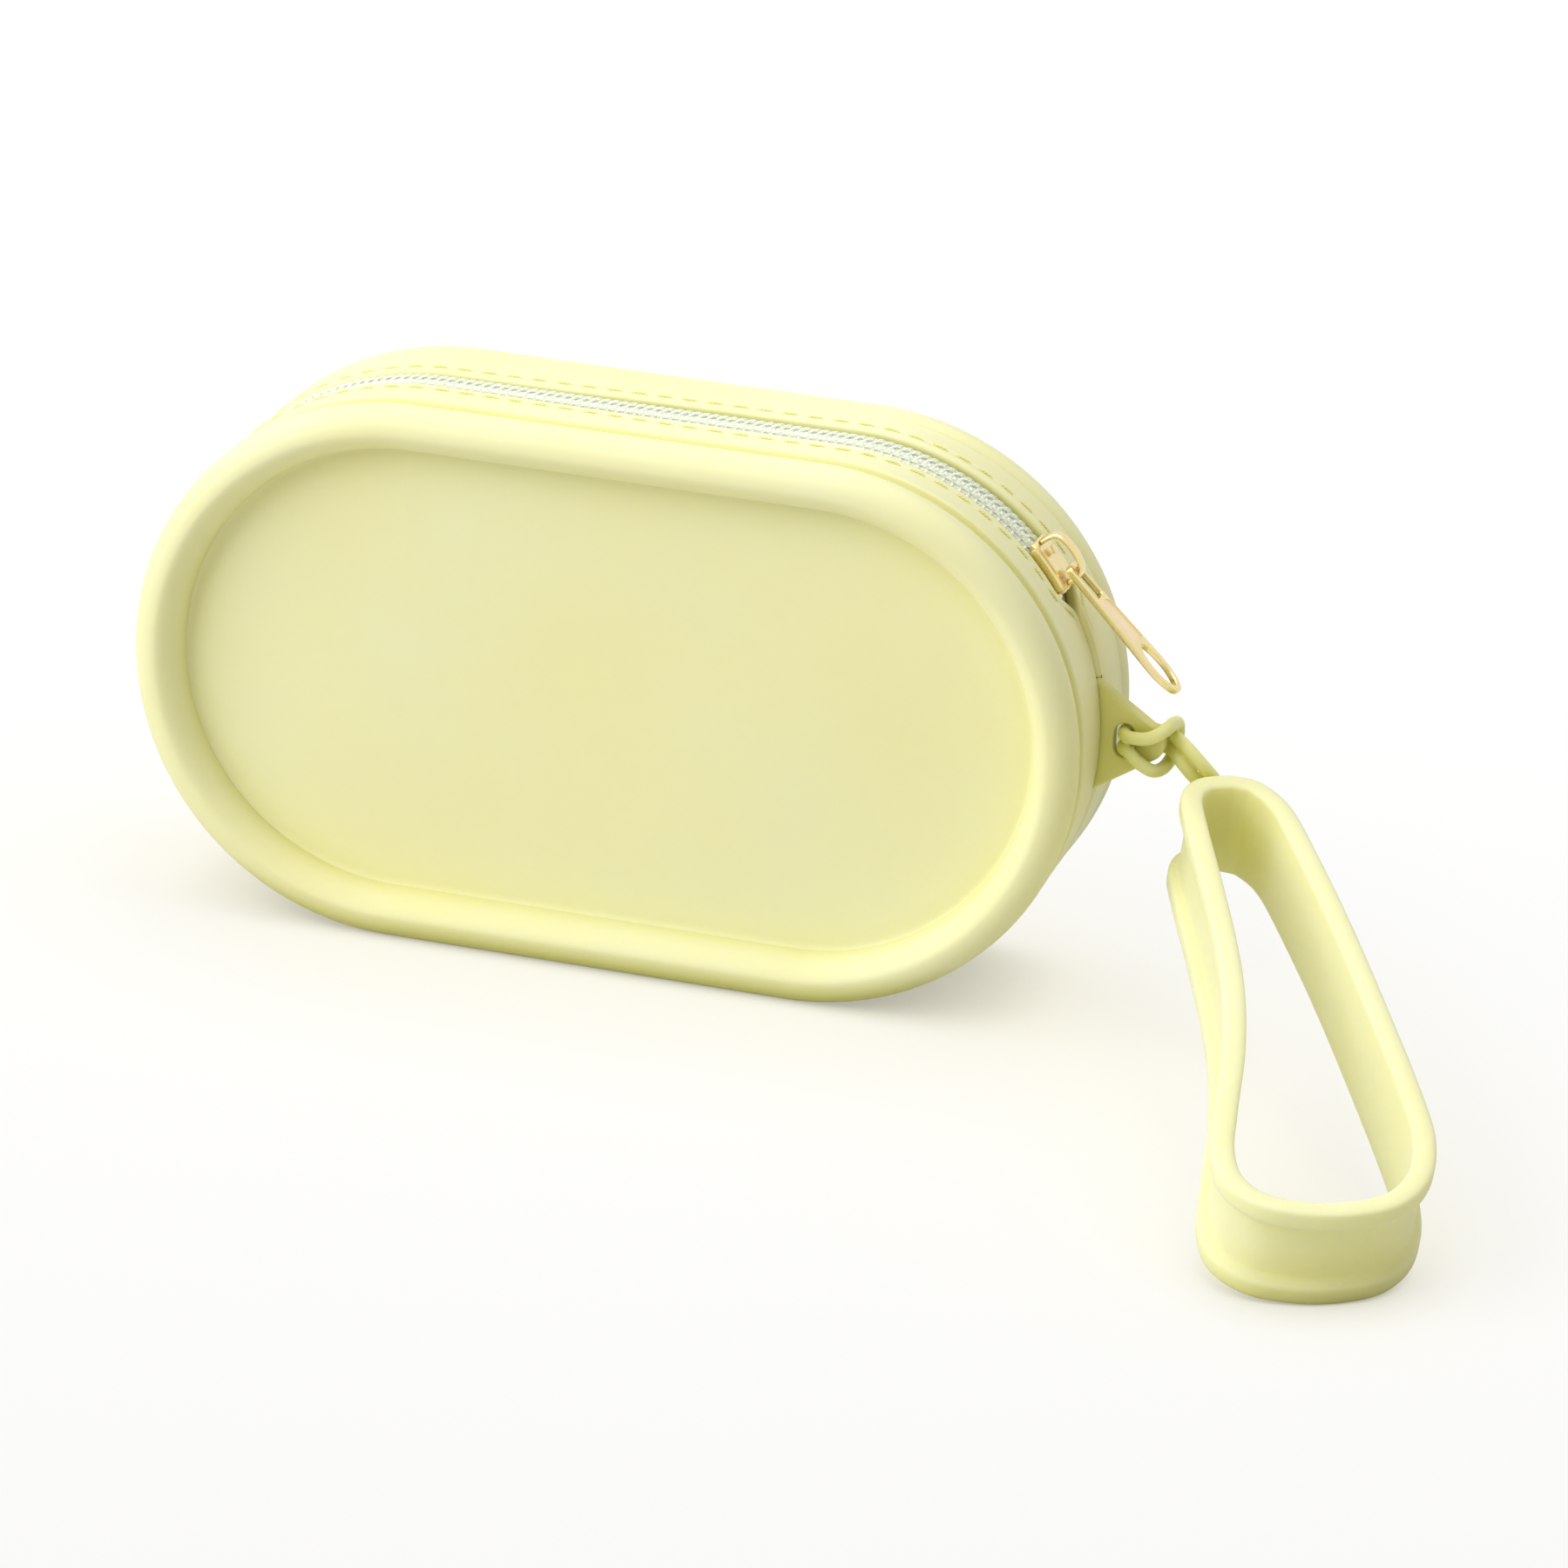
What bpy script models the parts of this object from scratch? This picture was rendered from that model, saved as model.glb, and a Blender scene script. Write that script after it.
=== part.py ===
"""Pill-shaped silicone zip bag with a wrist strap, built from its separate pieces.

The bag stands on its long straight underside. +X points to the strap end, -Y is the face
with the front panel, +Z is up, and z = 0 is the surface that the bag stands on.
Lengths below are millimetres. They become metres when an object is made.
"""

import math

import bmesh
import bpy
from mathutils import Matrix, Vector

MM = 0.001

# Clearance between pieces that touch on the real bag
GAP = 0.3

# Outline of the bag: a pill shape, seen from the front
HALF_STRAIGHT = 32.2
OUTER_R = 43.0
FOOT_FLAT = 0.25
CENTRE_Z = OUTER_R - FOOT_FLAT

# Section of one moulded half
BEAD_R = 3.9
BEAD_Y = 16.1
BEAD_RHO = OUTER_R - BEAD_R
BEAD_PROUD = 0.2
PANEL_SUNK = 6.1
PANEL_Y = BEAD_Y + BEAD_R - PANEL_SUNK
PANEL_T = 2.0
PANEL_EDGE_RHO = BEAD_RHO - BEAD_R - 5.2
WALL_T = 2.0
WALL_OUT = OUTER_R - BEAD_PROUD
WALL_IN = WALL_OUT - WALL_T
SEAM_HALF = GAP / 2

# Slit for the zip, measured from the mid plane, and the angles where it closes up
LIP_HALF = 4.5
SLIT_FULL_DEG = 64.0
SLIT_END_DEG = 71.0
GROOVE_Y = LIP_HALF + 2.3
GROOVE_HALF = 0.5
GROOVE_DEPTH = 0.9

# Zip tape and coil
TAPE_T = 0.6
TAPE_OUT = WALL_IN - GAP
TAPE_IN = TAPE_OUT - TAPE_T
TAPE_EDGE_IN = 1.6
TAPE_EDGE_OUT = LIP_HALF + 5.0
TAPE_END_DEG = 74.0
COIL_T = 1.5
COIL_IN = TAPE_OUT + GAP
COIL_OUT = COIL_IN + COIL_T
COIL_EDGE_IN = 0.95
COIL_W = 2.15
COIL_EDGE_OUT = COIL_EDGE_IN + COIL_W
TOOTH_TIP = 0.75
TOOTH_PITCH = 2.9
TOOTH_W = 1.1
COIL_LEFT_DEG = 61.5

# Sewing thread
THREAD_R = 0.22
STITCH_PITCH = 4.0
STITCH_SHOW = 2.9
THREAD_TOP = WALL_OUT - 0.08
THREAD_DIP = THREAD_TOP - 0.38
THREAD_END_DEG = 66.0

# Slider, curved with the end of the bag
SLIDER_DEG = 50.4
SLIDER_HALF_DEG = 5.8
SLIDER_SIDE_GAP = 0.35
SLIDER_HALF_W = LIP_HALF - SLIDER_SIDE_GAP
SLIDER_SIDE_T = 0.5
SLIDER_INSET = 0.06
SLIDER_HEADROOM = 0.3
TOP_PLATE_T = 1.1
TOP_PLATE_IN = COIL_OUT + SLIDER_HEADROOM
TOP_PLATE_OUT = TOP_PLATE_IN + TOP_PLATE_T
BOTTOM_PLATE_T = 1.0
BOTTOM_PLATE_OUT = TAPE_IN - GAP
BOTTOM_PLATE_IN = BOTTOM_PLATE_OUT - BOTTOM_PLATE_T
SIDE_IN = TAPE_OUT + GAP
WEDGE_HALF_W = 1.25
WEDGE_LEN = 3.4
COIL_RIGHT_DEG = SLIDER_DEG - 0.4

# Bridge over the pull's cross bar, measured on the slider's top plate
BRIDGE_HALF_W = 1.2
BRIDGE_HALF_LEN = 4.2
BRIDGE_TOP = 3.6
BRIDGE_T = 0.8
BRIDGE_FOOT = GAP + 0.05
BAR_HEIGHT = 1.35
BAR_ALONG = BRIDGE_HALF_LEN / 2

# Pull
PULL_LEN = 24.9
PULL_HALF_W = 3.2
PULL_HEAD_HALF_W = 2.4
PULL_T = 1.1
PULL_WINDOW = (0.5, 6.6, BRIDGE_HALF_W + 0.35)
PULL_SLOT = (PULL_LEN - 9.3, PULL_LEN - 1.6, 1.7)
PULL_DOWN_DEG = 43.9

# End stops of the zip
STOP_LEN = 1.8
STOP_W = 1.5

# Strap tab at the right end
TAB_T = 2.6
TAB_REACH = 9.9
TAB_ROOT_X = HALF_STRAIGHT + WALL_IN + GAP
TAB_TIP_X = HALF_STRAIGHT + WALL_OUT + TAB_REACH
TAB_Z = CENTRE_Z + 1.25
TAB_HALF_H = 8.7
TAB_TIP_HALF_H = 2.9

# Cord loop hitched through the tab
CORD_R = 1.05
CORD_STEP = CORD_R + 0.11
STEM_R = 1.4
STEM_BALL_R = 2.1
HOLE_X = TAB_TIP_X - 6.3
HOLE_HALF_W = CORD_R + 0.55
HOLE_HALF_H = CORD_STEP + CORD_R + 0.49

# Wrist band: a closed loop standing on its edge, sloping down to the ground
BAND_WIDTH = 16.1
FLANGE_H = 3.2
FLANGE_OUT = 1.7
WEB_OUT = 0.3
BAND_IN = -1.7
NECK_REACH = 15.0
NECK_DROP = 4.8
NECK_POINT = (HOLE_X + NECK_REACH, 0.0, TAB_Z - NECK_DROP)
BAND_LENGTH = 110.4
BAND_SPREAD = 18.7
BAND_DOWN = (-0.117, 0.198, -0.973)
BAND_ALONG = (0.401, -0.887, -0.229)
COLLAR_BORE = STEM_R + 0.35
COLLAR_R = COLLAR_BORE + 2.15
COLLAR_LEN = 4.2
COLLAR_OFFSET = 3.6


def clear_scene():
    for obj in list(bpy.data.objects):
        bpy.data.objects.remove(obj, do_unlink=True)


def new_collection(name):
    coll = bpy.data.collections.new(name)
    bpy.context.scene.collection.children.link(coll)
    return coll


def material(name, rgb, roughness, metallic=0.0):
    mat = bpy.data.materials.new(name)
    mat.use_nodes = True
    shader = mat.node_tree.nodes["Principled BSDF"]
    shader.inputs["Base Color"].default_value = (*rgb, 1.0)
    shader.inputs["Roughness"].default_value = roughness
    shader.inputs["Metallic"].default_value = metallic
    return mat


def link_mesh(name, mesh, coll, mat=None, smooth=True):
    obj = bpy.data.objects.new(name, mesh)
    coll.objects.link(obj)
    if mat is not None:
        mesh.materials.clear()
        mesh.materials.append(mat)
    if smooth:
        mesh.shade_smooth()
        mesh.set_sharp_from_angle(angle=math.radians(35))
    return obj


def mesh_from_bmesh(name, bm):
    bmesh.ops.recalc_face_normals(bm, faces=bm.faces)
    mesh = bpy.data.meshes.new(name)
    bm.to_mesh(mesh)
    bm.free()
    return mesh


def run_point(side, deg, rho):
    """Point of the pill outline: side +1 or -1 picks the end, deg runs down from its top."""
    turn = math.radians(deg)
    x = side * (HALF_STRAIGHT + rho * math.sin(turn))
    return x, CENTRE_Z + rho * math.cos(turn)


def end_angles(limit, step=7.5):
    count = max(1, round(limit / step))
    return [limit * i / count for i in range(count + 1)]


def run_line(left_deg, right_deg, rho):
    """Points over the top of the bag, from an angle on the left end to one on the right."""
    left = [run_point(-1, deg, rho) for deg in reversed(end_angles(left_deg))]
    right = [run_point(1, deg, rho) for deg in end_angles(right_deg)]
    return left + right


def curve_to_mesh(obj, name, coll, mat):
    """Replace a curve object by its welded mesh."""
    graph = bpy.context.evaluated_depsgraph_get()
    graph.update()
    mesh = bpy.data.meshes.new_from_object(obj.evaluated_get(graph))
    bm = bmesh.new()
    bm.from_mesh(mesh)
    bmesh.ops.remove_doubles(bm, verts=bm.verts, dist=0.000002)
    bmesh.ops.recalc_face_normals(bm, faces=bm.faces)
    bm.to_mesh(mesh)
    bm.free()
    place = obj.matrix_world.copy()
    data = obj.data
    bpy.data.objects.remove(obj, do_unlink=True)
    bpy.data.curves.remove(data)
    made = link_mesh(name, mesh, coll, mat)
    made.matrix_world = place
    return made


def flat_piece(name, outlines, thickness, coll, mat, matrix):
    """Extrude flat closed outlines (the first is the edge, the rest are holes)."""
    curve = bpy.data.curves.new(name + "_outline", "CURVE")
    curve.dimensions = "2D"
    curve.fill_mode = "BOTH"
    curve.extrude = thickness * MM / 2
    for outline in outlines:
        spline = curve.splines.new("POLY")
        spline.points.add(len(outline) - 1)
        for point, (x, y) in zip(spline.points, outline):
            point.co = (x * MM, y * MM, 0.0, 1.0)
        spline.use_cyclic_u = True
    obj = bpy.data.objects.new(name + "_outline", curve)
    coll.objects.link(obj)
    obj.matrix_world = matrix
    return curve_to_mesh(obj, name, coll, mat)


def side_matrix(x=0.0, y=0.0, z=0.0):
    """Stand an outline up in the X-Z plane: its first axis is X and its second is Z."""
    return Matrix.Translation((x * MM, y * MM, z * MM)) @ Matrix.Rotation(math.pi / 2, 4, "X")


def join_piece(target, other, operation="UNION", keep=False):
    mod = target.modifiers.new(operation.title() + "_" + other.name, "BOOLEAN")
    mod.operation = operation
    mod.solver = "EXACT"
    mod.object = other
    if not keep:
        other.hide_render = True
        other.display_type = "WIRE"


def cube(name, coll, size, matrix):
    bm = bmesh.new()
    bmesh.ops.create_cube(bm, size=1.0)
    bmesh.ops.scale(bm, vec=Vector(size) * MM, verts=bm.verts)
    mesh = mesh_from_bmesh(name, bm)
    obj = link_mesh(name, mesh, coll, smooth=False)
    obj.matrix_world = matrix
    return obj


def cylinder(name, coll, radius, length, matrix, segments=20):
    bm = bmesh.new()
    bmesh.ops.create_cone(
        bm,
        cap_ends=True,
        segments=segments,
        radius1=radius * MM,
        radius2=radius * MM,
        depth=length * MM,
    )
    obj = link_mesh(name, mesh_from_bmesh(name, bm), coll)
    obj.matrix_world = matrix
    return obj


def ball(name, coll, radius, matrix):
    bm = bmesh.new()
    bmesh.ops.create_uvsphere(bm, u_segments=16, v_segments=10, radius=radius * MM)
    obj = link_mesh(name, mesh_from_bmesh(name, bm), coll)
    obj.matrix_world = matrix
    return obj


def slit_half(deg):
    """Half width of the slit at an angle down from the top of an end."""
    if deg <= SLIT_FULL_DEG:
        return LIP_HALF
    if deg >= SLIT_END_DEG:
        return SEAM_HALF
    part = (deg - SLIT_FULL_DEG) / (SLIT_END_DEG - SLIT_FULL_DEG)
    return LIP_HALF + (SEAM_HALF - LIP_HALF) * part


def half_section(deg):
    """Section of one half, from the panel's outer face round the bead and wall to its inner face."""
    lip = slit_half(deg)
    open_part = (lip - SEAM_HALF) / (LIP_HALF - SEAM_HALF)
    groove = GROOVE_DEPTH if deg <= SLIT_FULL_DEG + 2.5 else 0.0
    lip_round = 0.35 + 0.55 * open_part
    inner_side = BEAD_RHO - BEAD_R
    points = [
        (PANEL_EDGE_RHO, PANEL_Y),
        (inner_side - 0.9, PANEL_Y),
        (inner_side - 0.3, PANEL_Y + 0.3),
        (inner_side - 0.02, PANEL_Y + 1.0),
    ]
    crease = 180 + math.degrees(math.acos((WALL_OUT - BEAD_RHO) / BEAD_R))
    for turn in (0, 22, 45, 68, 90, 112, 135, 158, 180, crease):
        a = math.radians(turn)
        points.append((BEAD_RHO - BEAD_R * math.cos(a), BEAD_Y + BEAD_R * math.sin(a)))
    points += [
        (WALL_OUT, GROOVE_Y + GROOVE_HALF + 0.1),
        (WALL_OUT - groove, GROOVE_Y + GROOVE_HALF),
        (WALL_OUT - groove, GROOVE_Y - GROOVE_HALF),
        (WALL_OUT, GROOVE_Y - GROOVE_HALF - 0.1),
        (WALL_OUT, lip + lip_round),
        (WALL_OUT - 0.3 * lip_round, lip + 0.3 * lip_round),
        (WALL_OUT - lip_round, lip),
        (WALL_IN + 0.4, lip),
        (WALL_IN, lip + 0.4),
        (WALL_IN, PANEL_Y - PANEL_T - 1.5),
        (WALL_IN - 0.45, PANEL_Y - PANEL_T - 0.45),
        (WALL_IN - 1.5, PANEL_Y - PANEL_T),
        (PANEL_EDGE_RHO, PANEL_Y - PANEL_T),
    ]
    return points


def shell_half(name, sign, coll, mat):
    """Loft the half section round the pill outline. The section changes where the slit closes."""
    near = [0, 8, 16, 24, 32, 40, 48, 56, SLIT_FULL_DEG, SLIT_FULL_DEG + 2.5]
    near += [SLIT_FULL_DEG + 3.0, SLIT_END_DEG, 79, 87]
    far = [180 - deg for deg in (87, 79, 71, 64, 56, 48, 40, 32, 24, 16, 8, 0)]
    stations = [(1, deg) for deg in near + far] + [(-1, deg) for deg in reversed(near + far)]
    bm = bmesh.new()
    rings = []
    for side, deg in stations:
        ring = []
        for rho, y in half_section(deg):
            x, z = run_point(side, deg, rho)
            ring.append(bm.verts.new((x * MM, sign * y * MM, max(z, 0.0) * MM)))
        rings.append(ring)
    count = len(rings)
    for i in range(count):
        here = rings[i]
        after = rings[(i + 1) % count]
        for k in range(len(here) - 1):
            bm.faces.new((here[k], here[k + 1], after[k + 1], after[k]))
    bm.faces.new([ring[0] for ring in rings])
    bm.faces.new([ring[-1] for ring in rings])
    return link_mesh(name, mesh_from_bmesh(name, bm), coll, mat)


def arch_band(name, coll, mat, left_deg, right_deg, rho_in, rho_out, y_centre, width):
    """A strip that follows the top of the bag: its side outline, extruded across."""
    outline = run_line(left_deg, right_deg, rho_out) + run_line(left_deg, right_deg, rho_in)[::-1]
    return flat_piece(name, [outline], width, coll, mat, side_matrix(y=y_centre))


def end_arc_matrix(deg, rho, y=0.0):
    """Local frame on the right end: X along the run downwards, Y across, Z outwards."""
    x, z = run_point(1, deg, rho)
    turn = Matrix.Rotation(math.radians(deg), 4, "Y")
    return Matrix.Translation((x * MM, y * MM, z * MM)) @ turn


def left_arc_matrix(deg, rho, y=0.0):
    x, z = run_point(-1, deg, rho)
    turn = Matrix.Rotation(math.radians(-deg), 4, "Y")
    return Matrix.Translation((x * MM, y * MM, z * MM)) @ turn


def run_frame(distance, rho):
    """Frame at a distance along the run, measured at radius rho from the middle of the top."""
    if abs(distance) <= HALF_STRAIGHT:
        place = Matrix.Translation((distance * MM, 0.0, (CENTRE_Z + rho) * MM))
        return place
    deg = math.degrees((abs(distance) - HALF_STRAIGHT) / rho)
    if distance > 0:
        return end_arc_matrix(deg, rho)
    return left_arc_matrix(deg, rho)


def run_length(deg, rho):
    return HALF_STRAIGHT + math.radians(deg) * rho


def coil(name, sign, phase, coll, tools, mat):
    """One side of the coil: a strip with teeth that reach between the other side's teeth."""
    width = COIL_EDGE_OUT - COIL_EDGE_IN
    middle = sign * (COIL_EDGE_OUT + COIL_EDGE_IN) / 2
    strip = arch_band(
        name, coll, mat, COIL_LEFT_DEG, COIL_RIGHT_DEG, COIL_IN, COIL_OUT, middle, width
    )
    rho = (COIL_IN + COIL_OUT) / 2
    first = -run_length(COIL_LEFT_DEG, rho) + 1.0 + phase
    last = run_length(COIL_RIGHT_DEG, rho) - 1.0
    reach = COIL_EDGE_IN + TOOTH_TIP + 0.4
    y = sign * (COIL_EDGE_IN + 0.4 - reach / 2)
    bm = bmesh.new()
    distance = first
    while distance < last:
        place = run_frame(distance, rho) @ Matrix.Translation((0.0, y * MM, 0.0))
        size = Matrix.Diagonal((TOOTH_W * MM, reach * MM, (COIL_OUT - COIL_IN - 0.3) * MM, 1.0))
        bmesh.ops.create_cube(bm, size=1.0, matrix=place @ size)
        distance += TOOTH_PITCH
    teeth = link_mesh(name + "_teeth", mesh_from_bmesh(name + "_teeth", bm), tools, smooth=False)
    join_piece(strip, teeth)
    return strip


def thread(name, sign, coll, mat):
    """One row of stitches: a thread that shows on the wall and dips into its groove."""
    limit = run_length(THREAD_END_DEG, THREAD_TOP) - 1.0
    points = []
    start = -limit
    while start + STITCH_SHOW < limit:
        for offset, rho in (
            (0.0, THREAD_TOP),
            (STITCH_SHOW, THREAD_TOP),
            (STITCH_SHOW + 0.35, THREAD_DIP),
            (STITCH_PITCH - 0.35, THREAD_DIP),
        ):
            frame = run_frame(start + offset, THREAD_TOP)
            drop = Matrix.Translation((0.0, sign * GROOVE_Y * MM, (rho - THREAD_TOP) * MM))
            points.append((frame @ drop).translation)
        start += STITCH_PITCH
    curve = bpy.data.curves.new(name + "_path", "CURVE")
    curve.dimensions = "3D"
    curve.bevel_depth = THREAD_R * MM
    curve.bevel_resolution = 0
    curve.use_fill_caps = True
    spline = curve.splines.new("POLY")
    spline.points.add(len(points) - 1)
    for point, co in zip(spline.points, points):
        point.co = (*co, 1.0)
    obj = bpy.data.objects.new(name + "_path", curve)
    coll.objects.link(obj)
    return curve_to_mesh(obj, name, coll, mat)


def oval(x0, x1, half_w, steps=6):
    """Closed outline with round ends, long axis along the first coordinate."""
    pts = []
    for i in range(steps + 1):
        a = math.pi / 2 - math.pi * i / steps
        pts.append((x1 - half_w + half_w * math.cos(a), half_w * math.sin(a)))
    for i in range(steps + 1):
        a = -math.pi / 2 - math.pi * i / steps
        pts.append((x0 + half_w + half_w * math.cos(a), half_w * math.sin(a)))
    return pts


def slider_arc(name, coll, mat, deg0, deg1, rho_in, rho_out, y_centre, width):
    """A plate of the slider: a ring sector about the end's axis, extruded across."""
    steps = 6
    outline = []
    for rho, order in ((rho_out, 1), (rho_in, -1)):
        row = []
        for i in range(steps + 1):
            turn = math.radians(deg0 + (deg1 - deg0) * i / steps)
            row.append((rho * math.sin(turn), rho * math.cos(turn)))
        outline += row[::order]
    matrix = side_matrix(HALF_STRAIGHT, y_centre, CENTRE_Z)
    return flat_piece(name, [outline], width, coll, mat, matrix)


def slider_body(coll, tools, mat):
    lo = SLIDER_DEG - SLIDER_HALF_DEG
    hi = SLIDER_DEG + SLIDER_HALF_DEG
    width = 2 * SLIDER_HALF_W
    body = slider_arc(
        "slider_body", coll, mat, lo, hi, TOP_PLATE_IN, TOP_PLATE_OUT, 0.0, width
    )
    plate = slider_arc(
        "bottom_plate", tools, mat, lo, hi, BOTTOM_PLATE_IN, BOTTOM_PLATE_OUT, 0.0, width
    )
    join_piece(body, plate)
    for sign in (-1, 1):
        y = sign * (SLIDER_HALF_W - SLIDER_INSET - SLIDER_SIDE_T / 2)
        side = slider_arc(
            "side_guide_%d" % (sign + 2), tools, mat, lo + 0.3, hi - 0.3, SIDE_IN,
            TOP_PLATE_IN + 0.4, y, SLIDER_SIDE_T
        )
        join_piece(body, side)
    wedge_deg = SLIDER_DEG + SLIDER_HALF_DEG - 3.2
    height = TOP_PLATE_IN - BOTTOM_PLATE_OUT + 0.8
    place = end_arc_matrix(wedge_deg, (TOP_PLATE_IN + BOTTOM_PLATE_OUT) / 2)
    wedge = cube("wedge", tools, (WEDGE_LEN, 2 * WEDGE_HALF_W, height), place)
    for vert in wedge.data.vertices:
        if vert.co.x < 0:
            vert.co.y *= 0.35
    join_piece(body, wedge)
    return body


def slider_frame(along, height):
    """Frame on the slider's top plate: X down the run, Y across, Z outwards."""
    place = end_arc_matrix(SLIDER_DEG, TOP_PLATE_OUT)
    return place @ Matrix.Translation((along * MM, 0.0, height * MM))


def bridge(coll, mat):
    """Arch that holds the pull on the slider."""
    outer = []
    inner = []
    steps = 10
    for i in range(steps + 1):
        a = math.pi * i / steps
        lift = math.sin(a) ** 0.45
        outer.append((-BRIDGE_HALF_LEN * math.cos(a), BRIDGE_FOOT + (BRIDGE_TOP - GAP) * lift))
        inner.append(
            (
                -(BRIDGE_HALF_LEN - BRIDGE_T) * math.cos(a),
                BRIDGE_FOOT + (BRIDGE_TOP - BRIDGE_T - GAP) * lift,
            )
        )
    outline = outer + inner[::-1]
    stand = Matrix.Rotation(math.pi / 2, 4, "X")
    return flat_piece(
        "slider_bridge", [outline], 2 * BRIDGE_HALF_W, coll, mat, slider_frame(0.0, 0.0) @ stand
    )


def lock_spring(coll, mat):
    """Leaf spring under the bridge, behind the pull's cross bar."""
    outline = [(-2.45, 0.55), (-1.35, 0.35), (-1.2, 0.35), (-1.2, 0.75), (-1.35, 0.75), (-2.45, 0.95)]
    stand = Matrix.Rotation(math.pi / 2, 4, "X")
    return flat_piece("lock_spring", [outline], 1.4, coll, mat, slider_frame(0.0, 0.0) @ stand)


def pull(coll, mat):
    """Flat pull: round cross bar end, window for the bridge, long slot near the free end."""
    half = PULL_HALF_W
    head = PULL_HEAD_HALF_W
    outline = [(-0.5, -head + 0.5), (-0.25, -head), (5.5, -head), (8.5, -half)]
    steps = 8
    for i in range(steps + 1):
        a = -math.pi / 2 + math.pi * i / steps
        outline.append((PULL_LEN - half + half * math.cos(a), half * math.sin(a)))
    outline += [(8.5, half), (5.5, head), (-0.25, head), (-0.5, head - 0.5)]
    x0, x1, half_w = PULL_WINDOW
    corner = 0.4
    window = [(x0, half_w - corner), (x0 + corner, half_w), (x1 - corner, half_w)]
    window += [(x1, half_w - corner), (x1, corner - half_w), (x1 - corner, -half_w)]
    window += [(x0 + corner, -half_w), (x0, corner - half_w)]
    slot = oval(*PULL_SLOT, steps=6)
    axis = slider_frame(BAR_ALONG, BAR_HEIGHT).translation
    lean = Matrix.Rotation(math.radians(PULL_DOWN_DEG), 4, "Y")
    return flat_piece(
        "pull_tab", [outline, window, slot], PULL_T, coll, mat, Matrix.Translation(axis) @ lean
    )


def end_stops(coll, rgb):
    made = []
    rho = (COIL_IN + COIL_OUT) / 2
    height = COIL_OUT - COIL_IN - 0.1
    stop_y = COIL_EDGE_OUT - 0.25
    for name, y in (("top_stop_front", -stop_y), ("top_stop_back", stop_y)):
        place = end_arc_matrix(SLIDER_DEG + SLIDER_HALF_DEG - 0.2, rho, y)
        made.append(cube(name, coll, (STOP_LEN, STOP_W, height), place))
    place = left_arc_matrix(COIL_LEFT_DEG + 2.0, rho)
    made.append(cube("bottom_stop", coll, (STOP_LEN, 2 * COIL_EDGE_OUT - 0.1, height), place))
    for obj in made:
        obj.data.materials.append(material(obj.name + "_metal", rgb, 0.3, 1.0))
        mod = obj.modifiers.new("Bevel", "BEVEL")
        mod.width = 0.2 * MM
        mod.segments = 1
    return made


def strap_tab(coll, mat):
    """Triangular tab with a slot hole, held between the two halves at the right end."""
    root = TAB_ROOT_X - HOLE_X
    tip = TAB_TIP_X - HOLE_X
    shoulder = WALL_OUT + HALF_STRAIGHT - HOLE_X
    outline = [(root, -TAB_HALF_H), (shoulder - 1.2, -TAB_HALF_H)]
    outline += [(shoulder - 0.3, -TAB_HALF_H + 0.4)]
    for i in range(9):
        a = math.radians(-60 + 15 * i)
        outline.append((tip - TAB_TIP_HALF_H * (1 - math.cos(a)), TAB_TIP_HALF_H * math.sin(a)))
    outline += [(shoulder - 0.3, TAB_HALF_H - 0.4)]
    outline += [(shoulder - 1.2, TAB_HALF_H), (root, TAB_HALF_H)]
    hole = [(y, x) for x, y in oval(-HOLE_HALF_H, HOLE_HALF_H, HOLE_HALF_W, steps=6)]
    matrix = side_matrix(HOLE_X, 0.0, TAB_Z)
    return flat_piece("strap_tab", [outline, hole], TAB_T, coll, mat, matrix)


def smooth_path(points, per_span=5):
    """Catmull-Rom points through a list of 3D points."""
    pts = [Vector(p) for p in points]
    out = []
    for i in range(len(pts) - 1):
        p0 = pts[max(i - 1, 0)]
        p1 = pts[i]
        p2 = pts[i + 1]
        p3 = pts[min(i + 2, len(pts) - 1)]
        for k in range(per_span):
            t = k / per_span
            a = p1 * 2
            b = (p2 - p0) * t
            c = (p0 * 2 - p1 * 5 + p2 * 4 - p3) * t * t
            d = (p1 * 3 - p0 - p2 * 3 + p3) * t ** 3
            out.append((a + b + c + d) / 2)
    out.append(pts[-1])
    return out


def band_axes():
    down = Vector(BAND_DOWN).normalized()
    along = Vector(BAND_ALONG)
    along = (along - down * along.dot(down)).normalized()
    side = down.cross(along)
    return along, side, down


def stem_point(height):
    """Point on the stem's axis, height above the middle of the band's width."""
    along, side, down = band_axes()
    middle = Vector(NECK_POINT) + down * (BAND_WIDTH / 2 - FLANGE_H / 2)
    web_face = middle + along * (FLANGE_OUT - WEB_OUT)
    return web_face - along * COLLAR_OFFSET - down * height


def strand(sign):
    """Half of the cord: from the stem, behind the tab and through its hole to the front."""
    hole = Vector((HOLE_X, 0.0, TAB_Z))
    face = TAB_T / 2 + CORD_R + GAP
    step = sign * CORD_STEP
    return [
        stem_point(3.45) + Vector((sign * 1.17, 0.0, sign * 0.05)),
        hole + Vector((12.8 + sign * 1.08, 1.7, -5.6 + sign * 0.5)),
        hole + Vector((11.2 + sign * 0.85, 1.0, -3.7 + sign * 0.8)),
        hole + Vector((9.6 + sign * 0.6, 0.9, -2.1 + sign * 1.0)),
        hole + Vector((8.1 + sign * 0.25, face - 1.1, -1.0 + sign * 1.12)),
        hole + Vector((6.3, face + 0.2, -0.4 + step)),
        hole + Vector((3.4, face + 0.05, step)),
        hole + Vector((1.1, face, step)),
        hole + Vector((0.0, 1.2, step)),
        hole + Vector((0.0, -1.2, step)),
        hole + Vector((1.1, -face, step)),
    ]


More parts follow.
